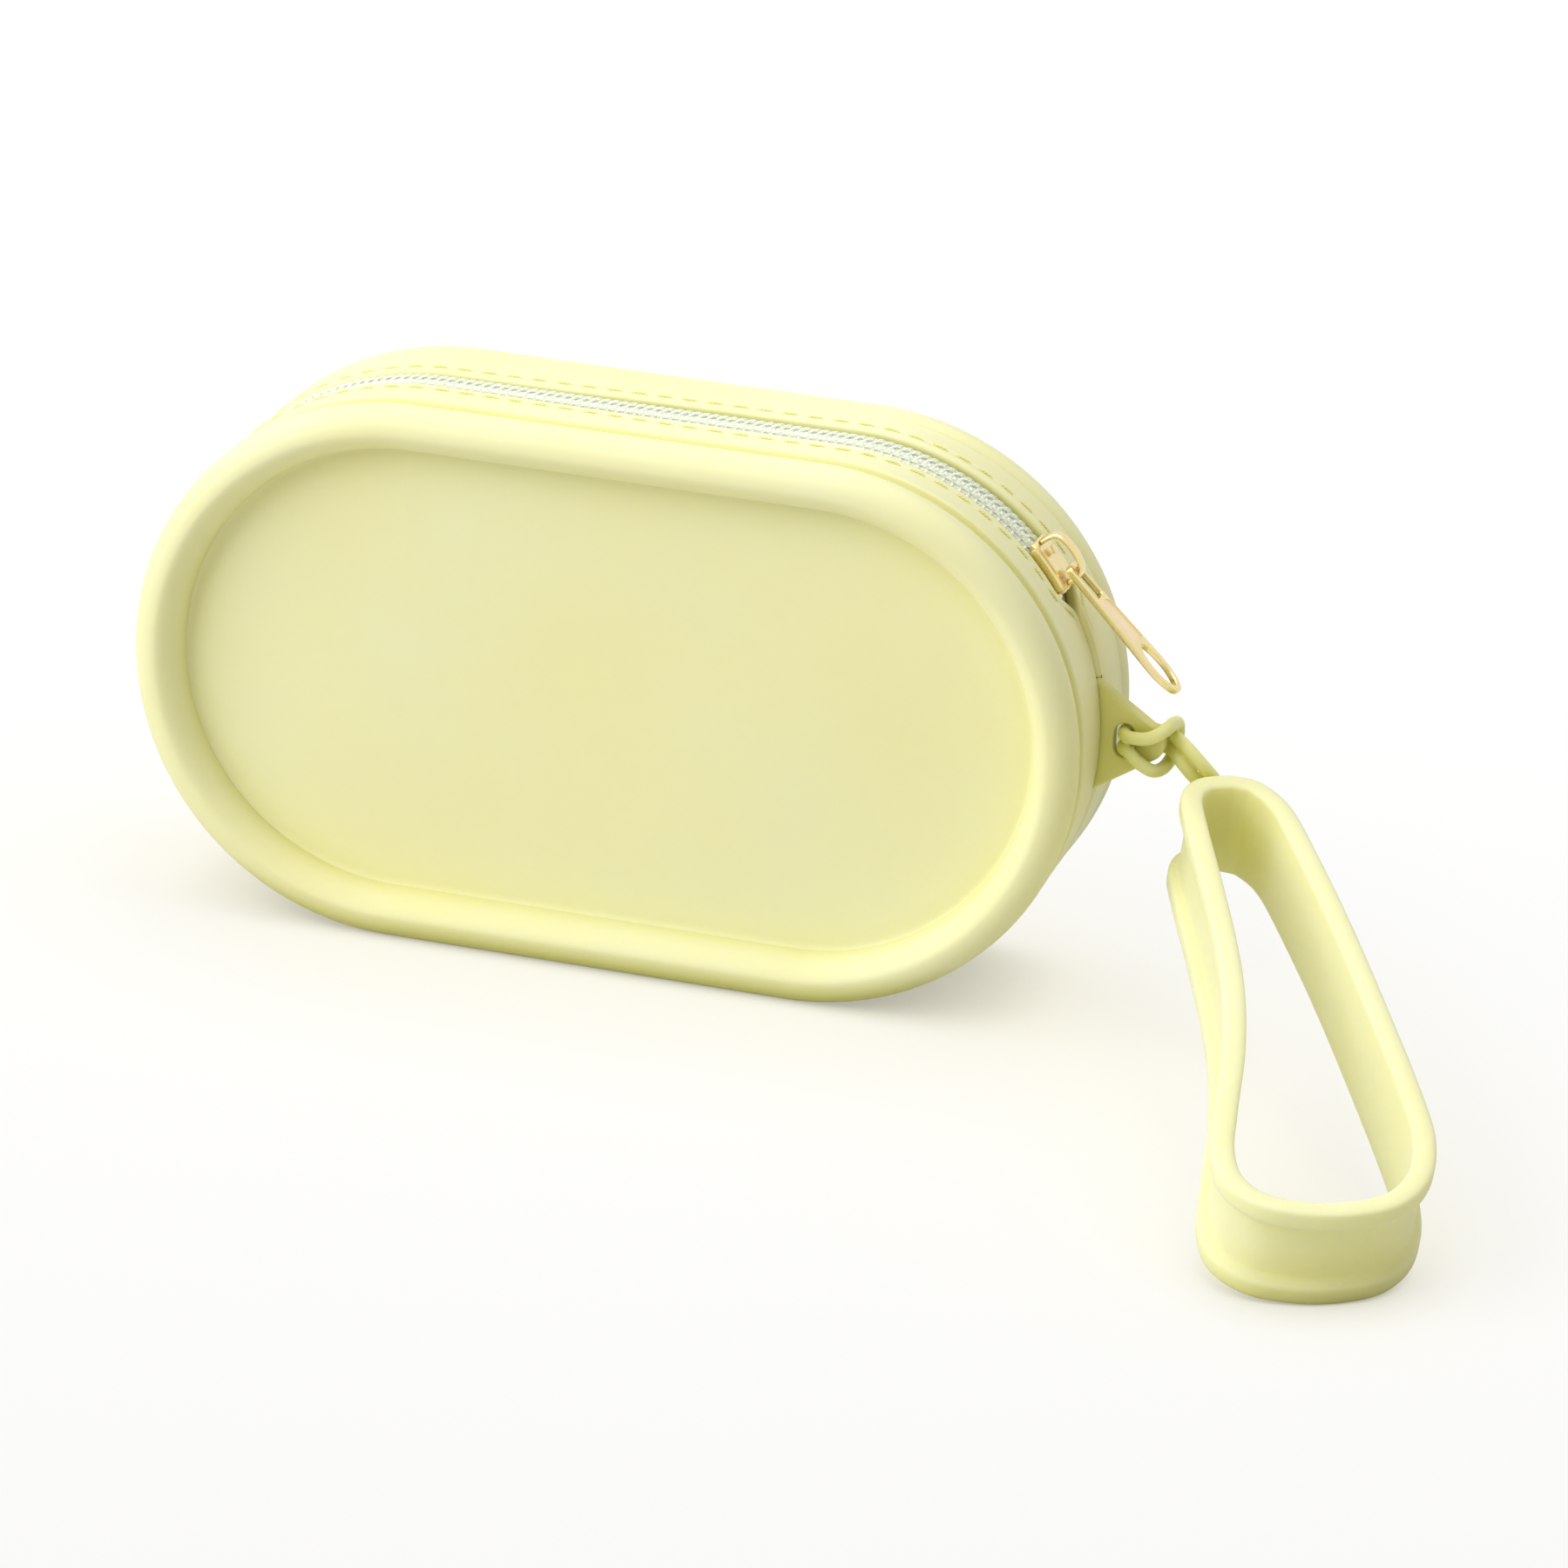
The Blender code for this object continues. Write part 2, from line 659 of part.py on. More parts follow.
def cord_path():
    hole = Vector((HOLE_X, 0.0, TAB_Z))
    face = TAB_T / 2 + CORD_R + GAP
    bight = [
        (3.6, -face - 0.3, 1.4),
        (5.4, -face - 0.1, 2.2),
        (6.7, -1.2, 2.9),
        (7.2, 1.3, 2.9),
        (7.6, 4.2, 2.1),
        (7.7, 5.0, -0.3),
        (7.3, 4.6, -3.1),
        (6.9, 2.4, -4.4),
        (6.2, -0.5, -4.2),
        (4.9, -face + 0.1, -3.6),
        (2.9, -face - 0.35, -2.5),
    ]
    upper = strand(1)
    lower = strand(-1)
    return upper + [hole + Vector(point) for point in bight] + lower[::-1]


def hitch_cord(coll, tools, mat):
    curve = bpy.data.curves.new("cord_path", "CURVE")
    curve.dimensions = "3D"
    curve.bevel_depth = CORD_R * MM
    curve.bevel_resolution = 1
    curve.use_fill_caps = True
    origin = Vector((HOLE_X, 0.0, TAB_Z))
    points = smooth_path(cord_path(), 4)
    spline = curve.splines.new("POLY")
    spline.points.add(len(points) - 1)
    for point, co in zip(spline.points, points):
        point.co = (*((co - origin) * MM), 1.0)
    obj = bpy.data.objects.new("cord_path", curve)
    coll.objects.link(obj)
    obj.location = origin * MM
    bpy.context.view_layer.update()
    cord = curve_to_mesh(obj, "hitch_cord", coll, mat)
    along, side, down = band_axes()
    turn = (-down).to_track_quat("Z", "Y").to_matrix().to_4x4()
    stem_low = -3.2
    stem_high = 4.05
    stem_mid = stem_point((stem_low + stem_high) / 2)
    stem = cylinder(
        "stem", tools, STEM_R, stem_high - stem_low, Matrix.Translation(stem_mid * MM) @ turn, 16
    )
    join_piece(cord, stem)
    end = ball("stem_ball", tools, STEM_BALL_R, Matrix.Translation(stem_point(-4.4) * MM) @ turn)
    join_piece(cord, end)
    return cord


def band_outline():
    """Outer outline of the band in its own plane: shares of its length and of its spread."""
    control = [
        (0.0, 0.000),
        (0.012, 0.228),
        (0.05, 0.381),
        (0.12, 0.418),
        (0.25, 0.439),
        (0.40, 0.476),
        (0.52, 0.545),
        (0.64, 0.677),
        (0.77, 0.878),
        (0.86, 1.000),
        (0.93, 0.984),
        (0.98, 0.767),
        (1.0, 0.397),
        (0.998, 0.026),
        (0.975, -0.344),
        (0.92, -0.624),
        (0.84, -0.772),
        (0.74, -0.794),
        (0.55, -0.751),
        (0.35, -0.683),
        (0.18, -0.593),
        (0.075, -0.508),
        (0.02, -0.349),
        (0.002, -0.169),
    ]
    closed = control[-1:] + control + control[:2]
    pts = [Vector((x * BAND_LENGTH, y * BAND_SPREAD, 0.0)) for x, y in closed]
    out = []
    for i in range(1, len(pts) - 2):
        p0, p1, p2, p3 = pts[i - 1], pts[i], pts[i + 1], pts[i + 2]
        for k in range(2):
            t = k / 2
            a = p1 * 2
            b = (p2 - p0) * t
            c = (p0 * 2 - p1 * 5 + p2 * 4 - p3) * t * t
            d = (p1 * 3 - p0 - p2 * 3 + p3) * t ** 3
            out.append((a + b + c + d) / 2)
    return out


def band_section():
    """Section of the band: a web with a thick rim along each edge, flush on the inside."""
    half = BAND_WIDTH / 2
    rim = half - FLANGE_H
    right = [
        (FLANGE_OUT - 0.6, half),
        (FLANGE_OUT, half - 0.7),
        (FLANGE_OUT, rim + 0.4),
        (FLANGE_OUT - 0.6, rim - 0.1),
        (WEB_OUT, rim - 0.5),
    ]
    left = [(BAND_IN, half - 0.7), (BAND_IN + 0.6, half)]
    lower = [(q, -h) for q, h in reversed(right)]
    return right + lower + [(BAND_IN + 0.6, -half), (BAND_IN, -half + 0.7)] + left


def wrist_band(coll, tools, mat):
    along, side, down = band_axes()
    outline = band_outline()
    count = len(outline)
    section = band_section()
    origin = stem_point(0.0)
    centre = Vector(NECK_POINT) + down * (BAND_WIDTH / 2 - FLANGE_H / 2)
    bm = bmesh.new()
    rings = []
    for i in range(count):
        tangent = (outline[(i + 1) % count] - outline[i - 1]).normalized()
        outward = Vector((-tangent.y, tangent.x, 0.0))
        ring = []
        for q, h in section:
            flat = outline[i] + outward * (q - FLANGE_OUT)
            point = centre + along * flat.x + side * flat.y - down * h - origin
            ring.append(bm.verts.new(point * MM))
        rings.append(ring)
    for i in range(count):
        here = rings[i]
        after = rings[(i + 1) % count]
        size = len(here)
        for k in range(size):
            bm.faces.new((here[k], here[(k + 1) % size], after[(k + 1) % size], after[k]))
    band = link_mesh("wrist_band", mesh_from_bmesh("wrist_band", bm), coll, mat)
    band.location = origin * MM
    turn = (-down).to_track_quat("Z", "Y").to_matrix().to_4x4()
    middle = Matrix.Translation(stem_point(0.2) * MM) @ turn
    collar = cylinder("collar", tools, COLLAR_R, COLLAR_LEN, middle, 24)
    join_piece(band, collar)
    bore = cylinder("bore", tools, COLLAR_BORE, COLLAR_LEN + 2.0, middle, 20)
    join_piece(band, bore, "DIFFERENCE")
    return band


def hold(child, parent):
    """Parent one piece to another and leave it where it is."""
    child.parent = parent
    child.matrix_parent_inverse = parent.matrix_world.inverted()


def build():
    clear_scene()
    parts = new_collection("silicone_zip_bag")
    tools = new_collection("cutters")
    bag_rgb = (0.85, 0.81, 0.42)
    strap_rgb = (0.86, 0.83, 0.45)
    tape_rgb = (0.82, 0.80, 0.52)
    coil_rgb = (0.80, 0.88, 0.80)
    thread_rgb = (0.62, 0.58, 0.18)
    gold_rgb = (0.85, 0.62, 0.30)
    front = shell_half("front_shell", -1, parts, material("front_silicone", bag_rgb, 0.5))
    back = shell_half("back_shell", 1, parts, material("back_silicone", bag_rgb, 0.5))
    pocket_end = HALF_STRAIGHT + WALL_OUT + 3.0
    pocket = cube(
        "tab_pocket",
        tools,
        (pocket_end - TAB_ROOT_X + 2 * GAP, TAB_T + 2 * GAP, 2 * (TAB_HALF_H + GAP)),
        Matrix.Translation(((TAB_ROOT_X + pocket_end) / 2 * MM, 0.0, TAB_Z * MM)),
    )
    join_piece(front, pocket, "DIFFERENCE")
    join_piece(back, pocket, "DIFFERENCE")
    tab = strap_tab(parts, material("tab_silicone", strap_rgb, 0.48))
    width = TAPE_EDGE_OUT - TAPE_EDGE_IN
    middle = (TAPE_EDGE_OUT + TAPE_EDGE_IN) / 2
    for side, sign in (("front", -1), ("back", 1)):
        arch_band(
            "zip_tape_" + side, parts, material("tape_%s_fabric" % side, tape_rgb, 0.9),
            TAPE_END_DEG, TAPE_END_DEG, TAPE_IN, TAPE_OUT, sign * middle, width
        )
        phase = 0.0 if sign < 0 else TOOTH_PITCH / 2
        coil("coil_" + side, sign, phase, parts, tools, material("coil_%s_nylon" % side, coil_rgb, 0.45))
        thread("seam_thread_" + side, sign, parts, material("thread_%s_yarn" % side, thread_rgb, 0.8))
    slider = slider_body(parts, tools, material("slider_metal", gold_rgb, 0.25, 1.0))
    hold(bridge(parts, material("bridge_metal", gold_rgb, 0.25, 1.0)), slider)
    hold(lock_spring(parts, material("spring_metal", gold_rgb, 0.3, 1.0)), slider)
    hold(pull(parts, material("pull_metal", gold_rgb, 0.3, 1.0)), slider)
    end_stops(parts, gold_rgb)
    cord = hitch_cord(parts, tools, material("cord_silicone", strap_rgb, 0.48))
    hold(cord, tab)
    hold(wrist_band(parts, tools, material("band_silicone", strap_rgb, 0.48)), cord)


build()
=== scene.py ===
"""Dressed scene of a pill-shaped silicone zip bag with a wrist strap.

Sizes are millimetres, as in the model's source, and become metres when a mesh is made.
"""

import math
import random

import bmesh
import bpy
from mathutils import Matrix, Vector, noise


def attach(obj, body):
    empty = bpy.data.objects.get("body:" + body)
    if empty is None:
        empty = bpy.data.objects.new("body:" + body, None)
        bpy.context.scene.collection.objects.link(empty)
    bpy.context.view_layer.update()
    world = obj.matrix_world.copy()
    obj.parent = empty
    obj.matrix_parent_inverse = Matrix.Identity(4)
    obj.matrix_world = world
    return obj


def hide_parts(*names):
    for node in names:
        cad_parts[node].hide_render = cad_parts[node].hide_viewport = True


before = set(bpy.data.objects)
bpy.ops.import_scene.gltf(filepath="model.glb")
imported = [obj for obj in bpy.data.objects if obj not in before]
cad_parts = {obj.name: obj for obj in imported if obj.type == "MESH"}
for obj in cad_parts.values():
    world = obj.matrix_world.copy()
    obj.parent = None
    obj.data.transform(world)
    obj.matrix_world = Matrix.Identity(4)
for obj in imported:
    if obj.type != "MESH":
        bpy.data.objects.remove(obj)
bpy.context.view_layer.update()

MM = 0.001
FULL_TURN = 2 * math.pi

# Sizes shared with the model's source
GAP = 0.3
HALF_STRAIGHT = 32.2
OUTER_R = 43.0
FOOT_FLAT = 0.25
CENTRE_Z = OUTER_R - FOOT_FLAT
BEAD_R = 3.9
BEAD_Y = 16.1
BEAD_RHO = OUTER_R - BEAD_R
BEAD_PROUD = 0.2
PANEL_SUNK = 6.1
PANEL_Y = BEAD_Y + BEAD_R - PANEL_SUNK
PANEL_T = 2.0
WALL_T = 2.0
WALL_OUT = OUTER_R - BEAD_PROUD
WALL_IN = WALL_OUT - WALL_T
SEAM_HALF = GAP / 2
LIP_HALF = 4.5
GROOVE_Y = LIP_HALF + 2.3
TAPE_T = 0.6
TAPE_OUT = WALL_IN - GAP
TAPE_IN = TAPE_OUT - TAPE_T
TAPE_EDGE_IN = 1.6
TAPE_EDGE_OUT = LIP_HALF + 5.0
TAPE_END_DEG = 74.0
COIL_T = 1.5
COIL_IN = TAPE_OUT + GAP
COIL_OUT = COIL_IN + COIL_T
COIL_RHO = (COIL_IN + COIL_OUT) / 2
COIL_EDGE_OUT = 3.1
COIL_LEFT_DEG = 61.5
COIL_RIGHT_DEG = 50.0
STITCH_PITCH = 4.0
STITCH_SHOW = 2.9
THREAD_TOP = WALL_OUT - 0.08
THREAD_DIP = THREAD_TOP - 0.38
THREAD_END_DEG = 66.0
SLIDER_DEG = 50.4
SLIDER_HALF_DEG = 5.8
SLIDER_HALF_W = LIP_HALF - 0.35
TOP_PLATE_IN = COIL_OUT + GAP
TOP_PLATE_OUT = TOP_PLATE_IN + 1.1
BOTTOM_PLATE_OUT = TAPE_IN - GAP
BOTTOM_PLATE_IN = BOTTOM_PLATE_OUT - 1.0
SIDE_IN = TAPE_OUT + GAP
BRIDGE_HALF_W = 1.2
BRIDGE_HALF_LEN = 4.2
BRIDGE_TOP = 3.6
BAR_HEIGHT = 1.35
BAR_ALONG = BRIDGE_HALF_LEN / 2
PULL_LEN = 24.9
PULL_HALF_W = 3.2
PULL_T = 1.1
PULL_DOWN_DEG = 43.9
STOP_LEN = 1.8
STOP_W = 1.5
TAB_T = 2.6
TAB_ROOT_X = HALF_STRAIGHT + WALL_IN + GAP
TAB_TIP_X = HALF_STRAIGHT + WALL_OUT + 9.9
TAB_Z = CENTRE_Z + 1.25
TAB_HALF_H = 8.7
TAB_TIP_HALF_H = 2.9
HOLE_X = 78.6
HOLE_HALF_W = 1.6
HOLE_HALF_H = 2.7
CORD_R = 1.05
CORD_STEP = CORD_R + 0.11
STEM_R = 1.4
STEM_BALL_R = 2.1
BAND_WIDTH = 16.1
BAND_LENGTH = 110.4
BAND_SPREAD = 18.7
BAND_IN = -1.7
FLANGE_H = 3.2
FLANGE_OUT = 1.7
WEB_OUT = 0.3
NECK_POINT = (93.6, 0.0, 39.2)
BAND_DOWN = (-0.117, 0.198, -0.973)
BAND_ALONG = (0.401, -0.887, -0.229)
COLLAR_BORE = 1.75
COLLAR_R = 3.9
COLLAR_LEN = 4.2
COLLAR_OFFSET = 3.6

# Forms finer than the model's: the rim's inner flank, the tuck outside it and the lips
FLANK_REACH = 3.5
FLANK_FOOT = 14.3
FLANK_POWER = 1.14
VALLEY = 1.1
RIDGE = 0.12
LIP_HALF_LEFT = 3.45
LIP_WIDENS_TO = 20.0
SLIT_FULL_DEG = 54.5
SLIT_END_DEG = 63.5
LIP_EDGE_SEAM = 0.55
LIP_EDGE_OPEN = 0.9
SEAM_DIP = 0.55
SEAM_DIP_REACH = 3.2
GROOVE_DEPTH = 0.14
GROOVE_HALF = 0.8
POCKET_PLAY = 0.14
POCKET_START_DEG = (76.0, 76.9)
POCKET_END_DEG = (99.6, 100.5)
CROWN_RHO = 34.0
CROWN_RISE = 0.25
CROWN_WAVE = 0.5
PANEL_RHOS = (1.5, 8.0, 15.0, 21.0, 26.0, 30.0, 33.0)
INSIDE_RHOS = (32.0, 26.0, 20.0, 14.0, 8.0, 1.5)

# Forms finer than the model's: zip and slider
COIL_PITCH = 1.45
WIRE_R = 0.37
COIL_HEAD = -0.55
COIL_SEWING_R = 0.19
FILLER_R = 0.42
FILLER_LIFT = 0.10
FILLER_ROWS = (0.75, 1.6, 2.4)
THREAD_R = 0.18
STITCH_SINK = 0.30
STITCH_WOBBLE = 0.05
BRIDGE_T = 0.9
BRIDGE_FLARE = 0.22
GUIDE_T = 0.56
WINDOW_START = 0.5
WINDOW_END = 6.15
WINDOW_PLAY = 0.32
SLOT_MIDDLE = 19.7
SLOT_HALF_LEN = 4.0
SLOT_HALF_W = 2.3
FIELD_START = 6.9
FIELD_END = 14.9
FIELD_CORNER = 1.2
FIELD_RIM = 0.5
FIELD_SLOT_RIM = 0.62
FIELD_DEPTH = 0.24

# Colours
BAG_RGB = (0.950, 0.926, 0.525)
STRAP_RGB = (0.950, 0.922, 0.510)
CORD_RGB = (0.955, 0.930, 0.420)
# Painted shade: the tab is the bag's silicone, given a darker, deeper colour for the shadow the bag casts on
# it.
TAB_SHADED_RGB = (0.905, 0.875, 0.370)
GOLD_RGB = (0.855, 0.715, 0.360)
FIELD_RGB = (0.865, 0.725, 0.480)
TAPE_RGB = (0.950, 0.975, 0.870)
COIL_RGB = (0.920, 0.985, 0.790)
COIL_THREAD_RGB = (0.930, 0.990, 0.810)
STITCH_RGB = (0.860, 0.815, 0.280)
FLOOR_RGB = (0.575, 0.568, 0.532)
FLOOR_LIGHTER_RGB = (0.590, 0.583, 0.547)
# Painted bounce light: warm tint of the floor's white near the bag.
FLOOR_PAINTED_BOUNCE = (1.0, 0.975, 0.84, 1.0)
WHITE = (1.0, 1.0, 1.0, 1.0)

# Camera, fitted to the photograph
CAMERA_PLACE = (291.4, -1014.7, 416.9)
CAMERA_RIGHT = Vector((0.9600, 0.2740, 0.0585))
CAMERA_BACK = Vector((0.2377, -0.9070, 0.3475))
FOCAL_PIXELS = 8315.5
IMAGE_PIXELS = 1800.0
SENSOR = 36.0


def make_camera():
    data = bpy.data.cameras.new("camera")
    data.sensor_fit = "HORIZONTAL"
    data.sensor_width = SENSOR
    data.lens = SENSOR * FOCAL_PIXELS / IMAGE_PIXELS
    data.clip_start = 0.05
    data.clip_end = 20.0
    camera = bpy.data.objects.new("camera", data)
    bpy.context.scene.collection.objects.link(camera)
    back = CAMERA_BACK.normalized()
    right = (CAMERA_RIGHT - back * CAMERA_RIGHT.dot(back)).normalized()
    up = back.cross(right)
    turn = Matrix((right, up, back)).transposed().to_4x4()
    camera.matrix_world = Matrix.Translation(Vector(CAMERA_PLACE) * MM) @ turn
    bpy.context.scene.camera = camera


make_camera()


# Node helpers


def new_material(name):
    mat = bpy.data.materials.new(name)
    mat.use_nodes = True
    tree = mat.node_tree
    shader = tree.nodes["Principled BSDF"]
    return mat, tree, shader


def coordinates(tree, kind="Object"):
    return tree.nodes.new("ShaderNodeTexCoord").outputs[kind]


def feed(node, values):
    """Set a node's inputs, each to a number, a colour or the output of another node."""
    for name, value in values.items():
        if isinstance(value, bpy.types.NodeSocket):
            node.id_data.links.new(value, node.inputs[name])
        else:
            node.inputs[name].default_value = value


def add_node(tree, kind, values):
    node = tree.nodes.new("ShaderNode" + kind)
    feed(node, values)
    return node


def axis_of(tree, source, axis):
    return add_node(tree, "SeparateXYZ", {"Vector": source}).outputs[axis]


def noise_node(tree, source, scale, detail=3.0, roughness=0.5):
    values = {"Vector": source, "Scale": scale, "Detail": detail, "Roughness": roughness}
    return add_node(tree, "TexNoise", values).outputs["Fac"]


def math_node(tree, operation, *values, clamp=False):
    node = add_node(tree, "Math", dict(enumerate(values)))
    node.operation = operation
    node.use_clamp = clamp
    return node.outputs[0]


def ramp(tree, source, low, low_rgb, high, high_rgb):
    node = add_node(tree, "ValToRGB", {"Fac": source})
    for element, place, rgb in zip(node.color_ramp.elements, (low, high), (low_rgb, high_rgb)):
        element.position = place
        element.color = (*rgb, 1.0)
    return node.outputs["Color"]


def span(tree, source, low, high, from_low=0.3, from_high=0.7):
    values = {"Value": source, "From Min": from_low, "From Max": from_high, "To Min": low, "To Max": high}
    return add_node(tree, "MapRange", values).outputs["Result"]


def bump(tree, height, strength, distance, before=None):
    node = add_node(tree, "Bump", {"Height": height, "Strength": strength, "Distance": distance})
    if before is not None:
        feed(node, {"Normal": before})
    return node.outputs["Normal"]


def openness(tree, distance, samples):
    """1 in the open, less where other surfaces stand close by."""
    node = add_node(tree, "AmbientOcclusion", {"Distance": distance})
    node.samples = samples
    return node.outputs["AO"]


def colour_mix(tree, share, first, second):
    node = tree.nodes.new("ShaderNodeMix")
    node.data_type = "RGBA"
    feed(node, {"Factor": share, "A": first, "B": second})
    return node.outputs["Result"]


def shade_of(rgb, factor):
    return tuple(min(1.0, channel * factor) for channel in rgb)


# Materials

# Painted shade in creases: how far it reaches and how much darker it makes the colour.
CREASE_REACH = 0.012
PAINTED_CREASE_SHADE = (0.77, 0.77, 0.42)


def silicone(name, rgb, rough=0.5, depth=0.0012, glow=0.10):
    """Matte moulded silicone: soft glow below the skin, fine grain and faint marks.

    Creases and places near other surfaces are painted a darker, deeper colour: painted shade.
    """
    mat, tree, shader = new_material(name)
    place = coordinates(tree)
    warm = (rgb[0], rgb[1] * 0.985, rgb[2] * 0.93)
    cool = (rgb[0] * 0.985, rgb[1], rgb[2] * 1.06)
    tint = ramp(tree, noise_node(tree, place, 28.0), 0.3, warm, 0.7, cool)
    # Painted shade: a darker, deeper copy of the colour, mixed in where other surfaces stand close by.
    painted_crease_colour = (*(channel * share for channel, share in zip(rgb, PAINTED_CREASE_SHADE)), 1.0)
    painted_shade_share = span(tree, openness(tree, CREASE_REACH, 8), 1.0, 0.0, 0.25, 0.86)
    smudge = noise_node(tree, place, 120.0, 5.0, 0.6)
    soft = bump(tree, noise_node(tree, place, 420.0), 0.10, 0.00025)
    feed(shader, {
        "Base Color": colour_mix(tree, painted_shade_share, tint, painted_crease_colour),
        "Roughness": span(tree, smudge, rough - 0.05, rough + 0.07),
        "Normal": bump(tree, noise_node(tree, place, 2600.0, 2.0), 0.12, 0.00006, soft),
        "Subsurface Weight": glow,
        "Subsurface Radius": (1.0, 0.9, 0.3),
        "Subsurface Scale": depth,
        "Specular IOR Level": 0.22,
        "Sheen Weight": 0.12,
        "Sheen Roughness": 0.4,
        "IOR": 1.41,
    })
    return mat


def gold(name, rgb, low, high, grain_scale=900.0, bump_strength=0.08):
    """Pale gold plating with fine polishing marks and small dull spots."""
    mat, tree, shader = new_material(name)
    place = coordinates(tree)
    cloud = noise_node(tree, place, 260.0, 4.0)
    spots = noise_node(tree, place, 700.0, 5.0, 0.65)
    grain = noise_node(tree, place, grain_scale, 4.0, 0.6)
    feed(shader, {
        "Base Color": ramp(tree, cloud, 0.3, shade_of(rgb, 0.93), 0.7, shade_of(rgb, 1.04)),
        "Roughness": span(tree, spots, low, high),
        "Normal": bump(tree, grain, bump_strength, 0.0001),
        "Metallic": 1.0,
    })
    return mat


WARP_PITCH = 0.62
WEFT_PITCH = 0.34


def woven_tape(name, rgb):
    """Knitted zip tape: cords along the tape with a fine cross weave. Its UVs are in millimetres."""
    mat, tree, shader = new_material(name)
    uv = coordinates(tree, "UV")

    def wave(axis, pitch):
        scaled = math_node(tree, "MULTIPLY", axis_of(tree, uv, axis), FULL_TURN / pitch)
        return math_node(tree, "SINE", scaled)

    cross = math_node(tree, "MULTIPLY_ADD", wave("X", WEFT_PITCH), 0.45, wave("Y", WARP_PITCH))
    fuzz = noise_node(tree, coordinates(tree), 1800.0, 4.0, 0.7)
    height = math_node(tree, "MULTIPLY_ADD", cross, 0.35, fuzz)
    feed(shader, {
        "Base Color": ramp(tree, height, 0.1, shade_of(rgb, 0.78), 0.8, shade_of(rgb, 1.06)),
        "Normal": bump(tree, height, 0.7, 0.00012),
        "Roughness": 0.9,
        "Sheen Weight": 0.25,
        "Sheen Roughness": 0.5,
    })
    return mat


def nylon(name, rgb):
    """Monofilament of the coil: glossy and slightly clear."""
    mat, tree, shader = new_material(name)
    place = coordinates(tree)
    cloud = noise_node(tree, place, 400.0)
    fine = noise_node(tree, place, 1500.0, 2.0)
    feed(shader, {
        "Base Color": ramp(tree, cloud, 0.3, shade_of(rgb, 0.95), 0.7, shade_of(rgb, 1.03)),
        "Roughness": span(tree, fine, 0.26, 0.36),
        "Normal": bump(tree, fine, 0.06, 0.00005),
        "Subsurface Weight": 0.15,
        "Subsurface Radius": (1.0, 0.8, 1.0),
        "Subsurface Scale": 0.0003,
        "Coat Weight": 0.2,
        "Coat Roughness": 0.2,
    })
    return mat


def yarn(name, rgb):
    """Twisted sewing thread with fuzz. Its UVs run along and round the thread, in millimetres."""
    mat, tree, shader = new_material(name)
    wave = add_node(tree, "TexWave", {"Vector": coordinates(tree, "UV"), "Scale": 1.1, "Distortion": 0.4})
    wave.wave_type = "BANDS"
    wave.bands_direction = "DIAGONAL"
    twist = wave.outputs["Fac"]
    soft = bump(tree, noise_node(tree, coordinates(tree), 4000.0), 0.2, 0.00003)
    feed(shader, {
        "Base Color": ramp(tree, twist, 0.15, shade_of(rgb, 0.86), 0.75, shade_of(rgb, 1.06)),
        "Normal": bump(tree, twist, 0.6, 0.00006, soft),
        "Roughness": 0.75,
        "Sheen Weight": 0.3,
        "Sheen Roughness": 0.4,
    })
    return mat


# Mesh helpers


def shade(mesh, smooth_deg=40.0):
    mesh.shade_smooth()
    mesh.set_sharp_from_angle(angle=math.radians(smooth_deg))


def place_mesh(name, mesh, mat, smooth_deg=40.0):
    obj = bpy.data.objects.new(name, mesh)
    bpy.context.scene.collection.objects.link(obj)
    mesh.materials.clear()
    mesh.materials.append(mat)
    shade(mesh, smooth_deg)
    return obj


def finish_mesh(name, bm, mat, smooth_deg=40.0, recalc=True):
    if recalc:
        bmesh.ops.recalc_face_normals(bm, faces=bm.faces)
    mesh = bpy.data.meshes.new(name)
    bm.to_mesh(mesh)
    bm.free()
    return place_mesh(name, mesh, mat, smooth_deg)


def evaluated(obj):
    graph = bpy.context.evaluated_depsgraph_get()
    graph.update()
    return bpy.data.meshes.new_from_object(obj.evaluated_get(graph))


def baked_mesh(obj, name):
    """Apply an object's modifiers, or its curve, and remove the object."""
    mesh = evaluated(obj)
    mesh.name = name
    mesh.transform(obj.matrix_world)
    bpy.data.objects.remove(obj, do_unlink=True)
    return mesh


def welded(mesh, dist=0.000002):
    bm = bmesh.new()
    bm.from_mesh(mesh)
    bmesh.ops.remove_doubles(bm, verts=bm.verts, dist=dist)
    bmesh.ops.recalc_face_normals(bm, faces=bm.faces)
    bm.to_mesh(mesh)
    bm.free()
    return mesh


def combine(target, tool, operation):
    """Boolean of two closed objects, applied. The tool is removed."""
    mod = target.modifiers.new("boolean", "BOOLEAN")
    mod.operation = operation
    mod.solver = "EXACT"
    mod.object = tool
    mesh = evaluated(target)
    target.modifiers.clear()
    target.data = mesh
    bpy.data.objects.remove(tool, do_unlink=True)
    shade(mesh)
    return target


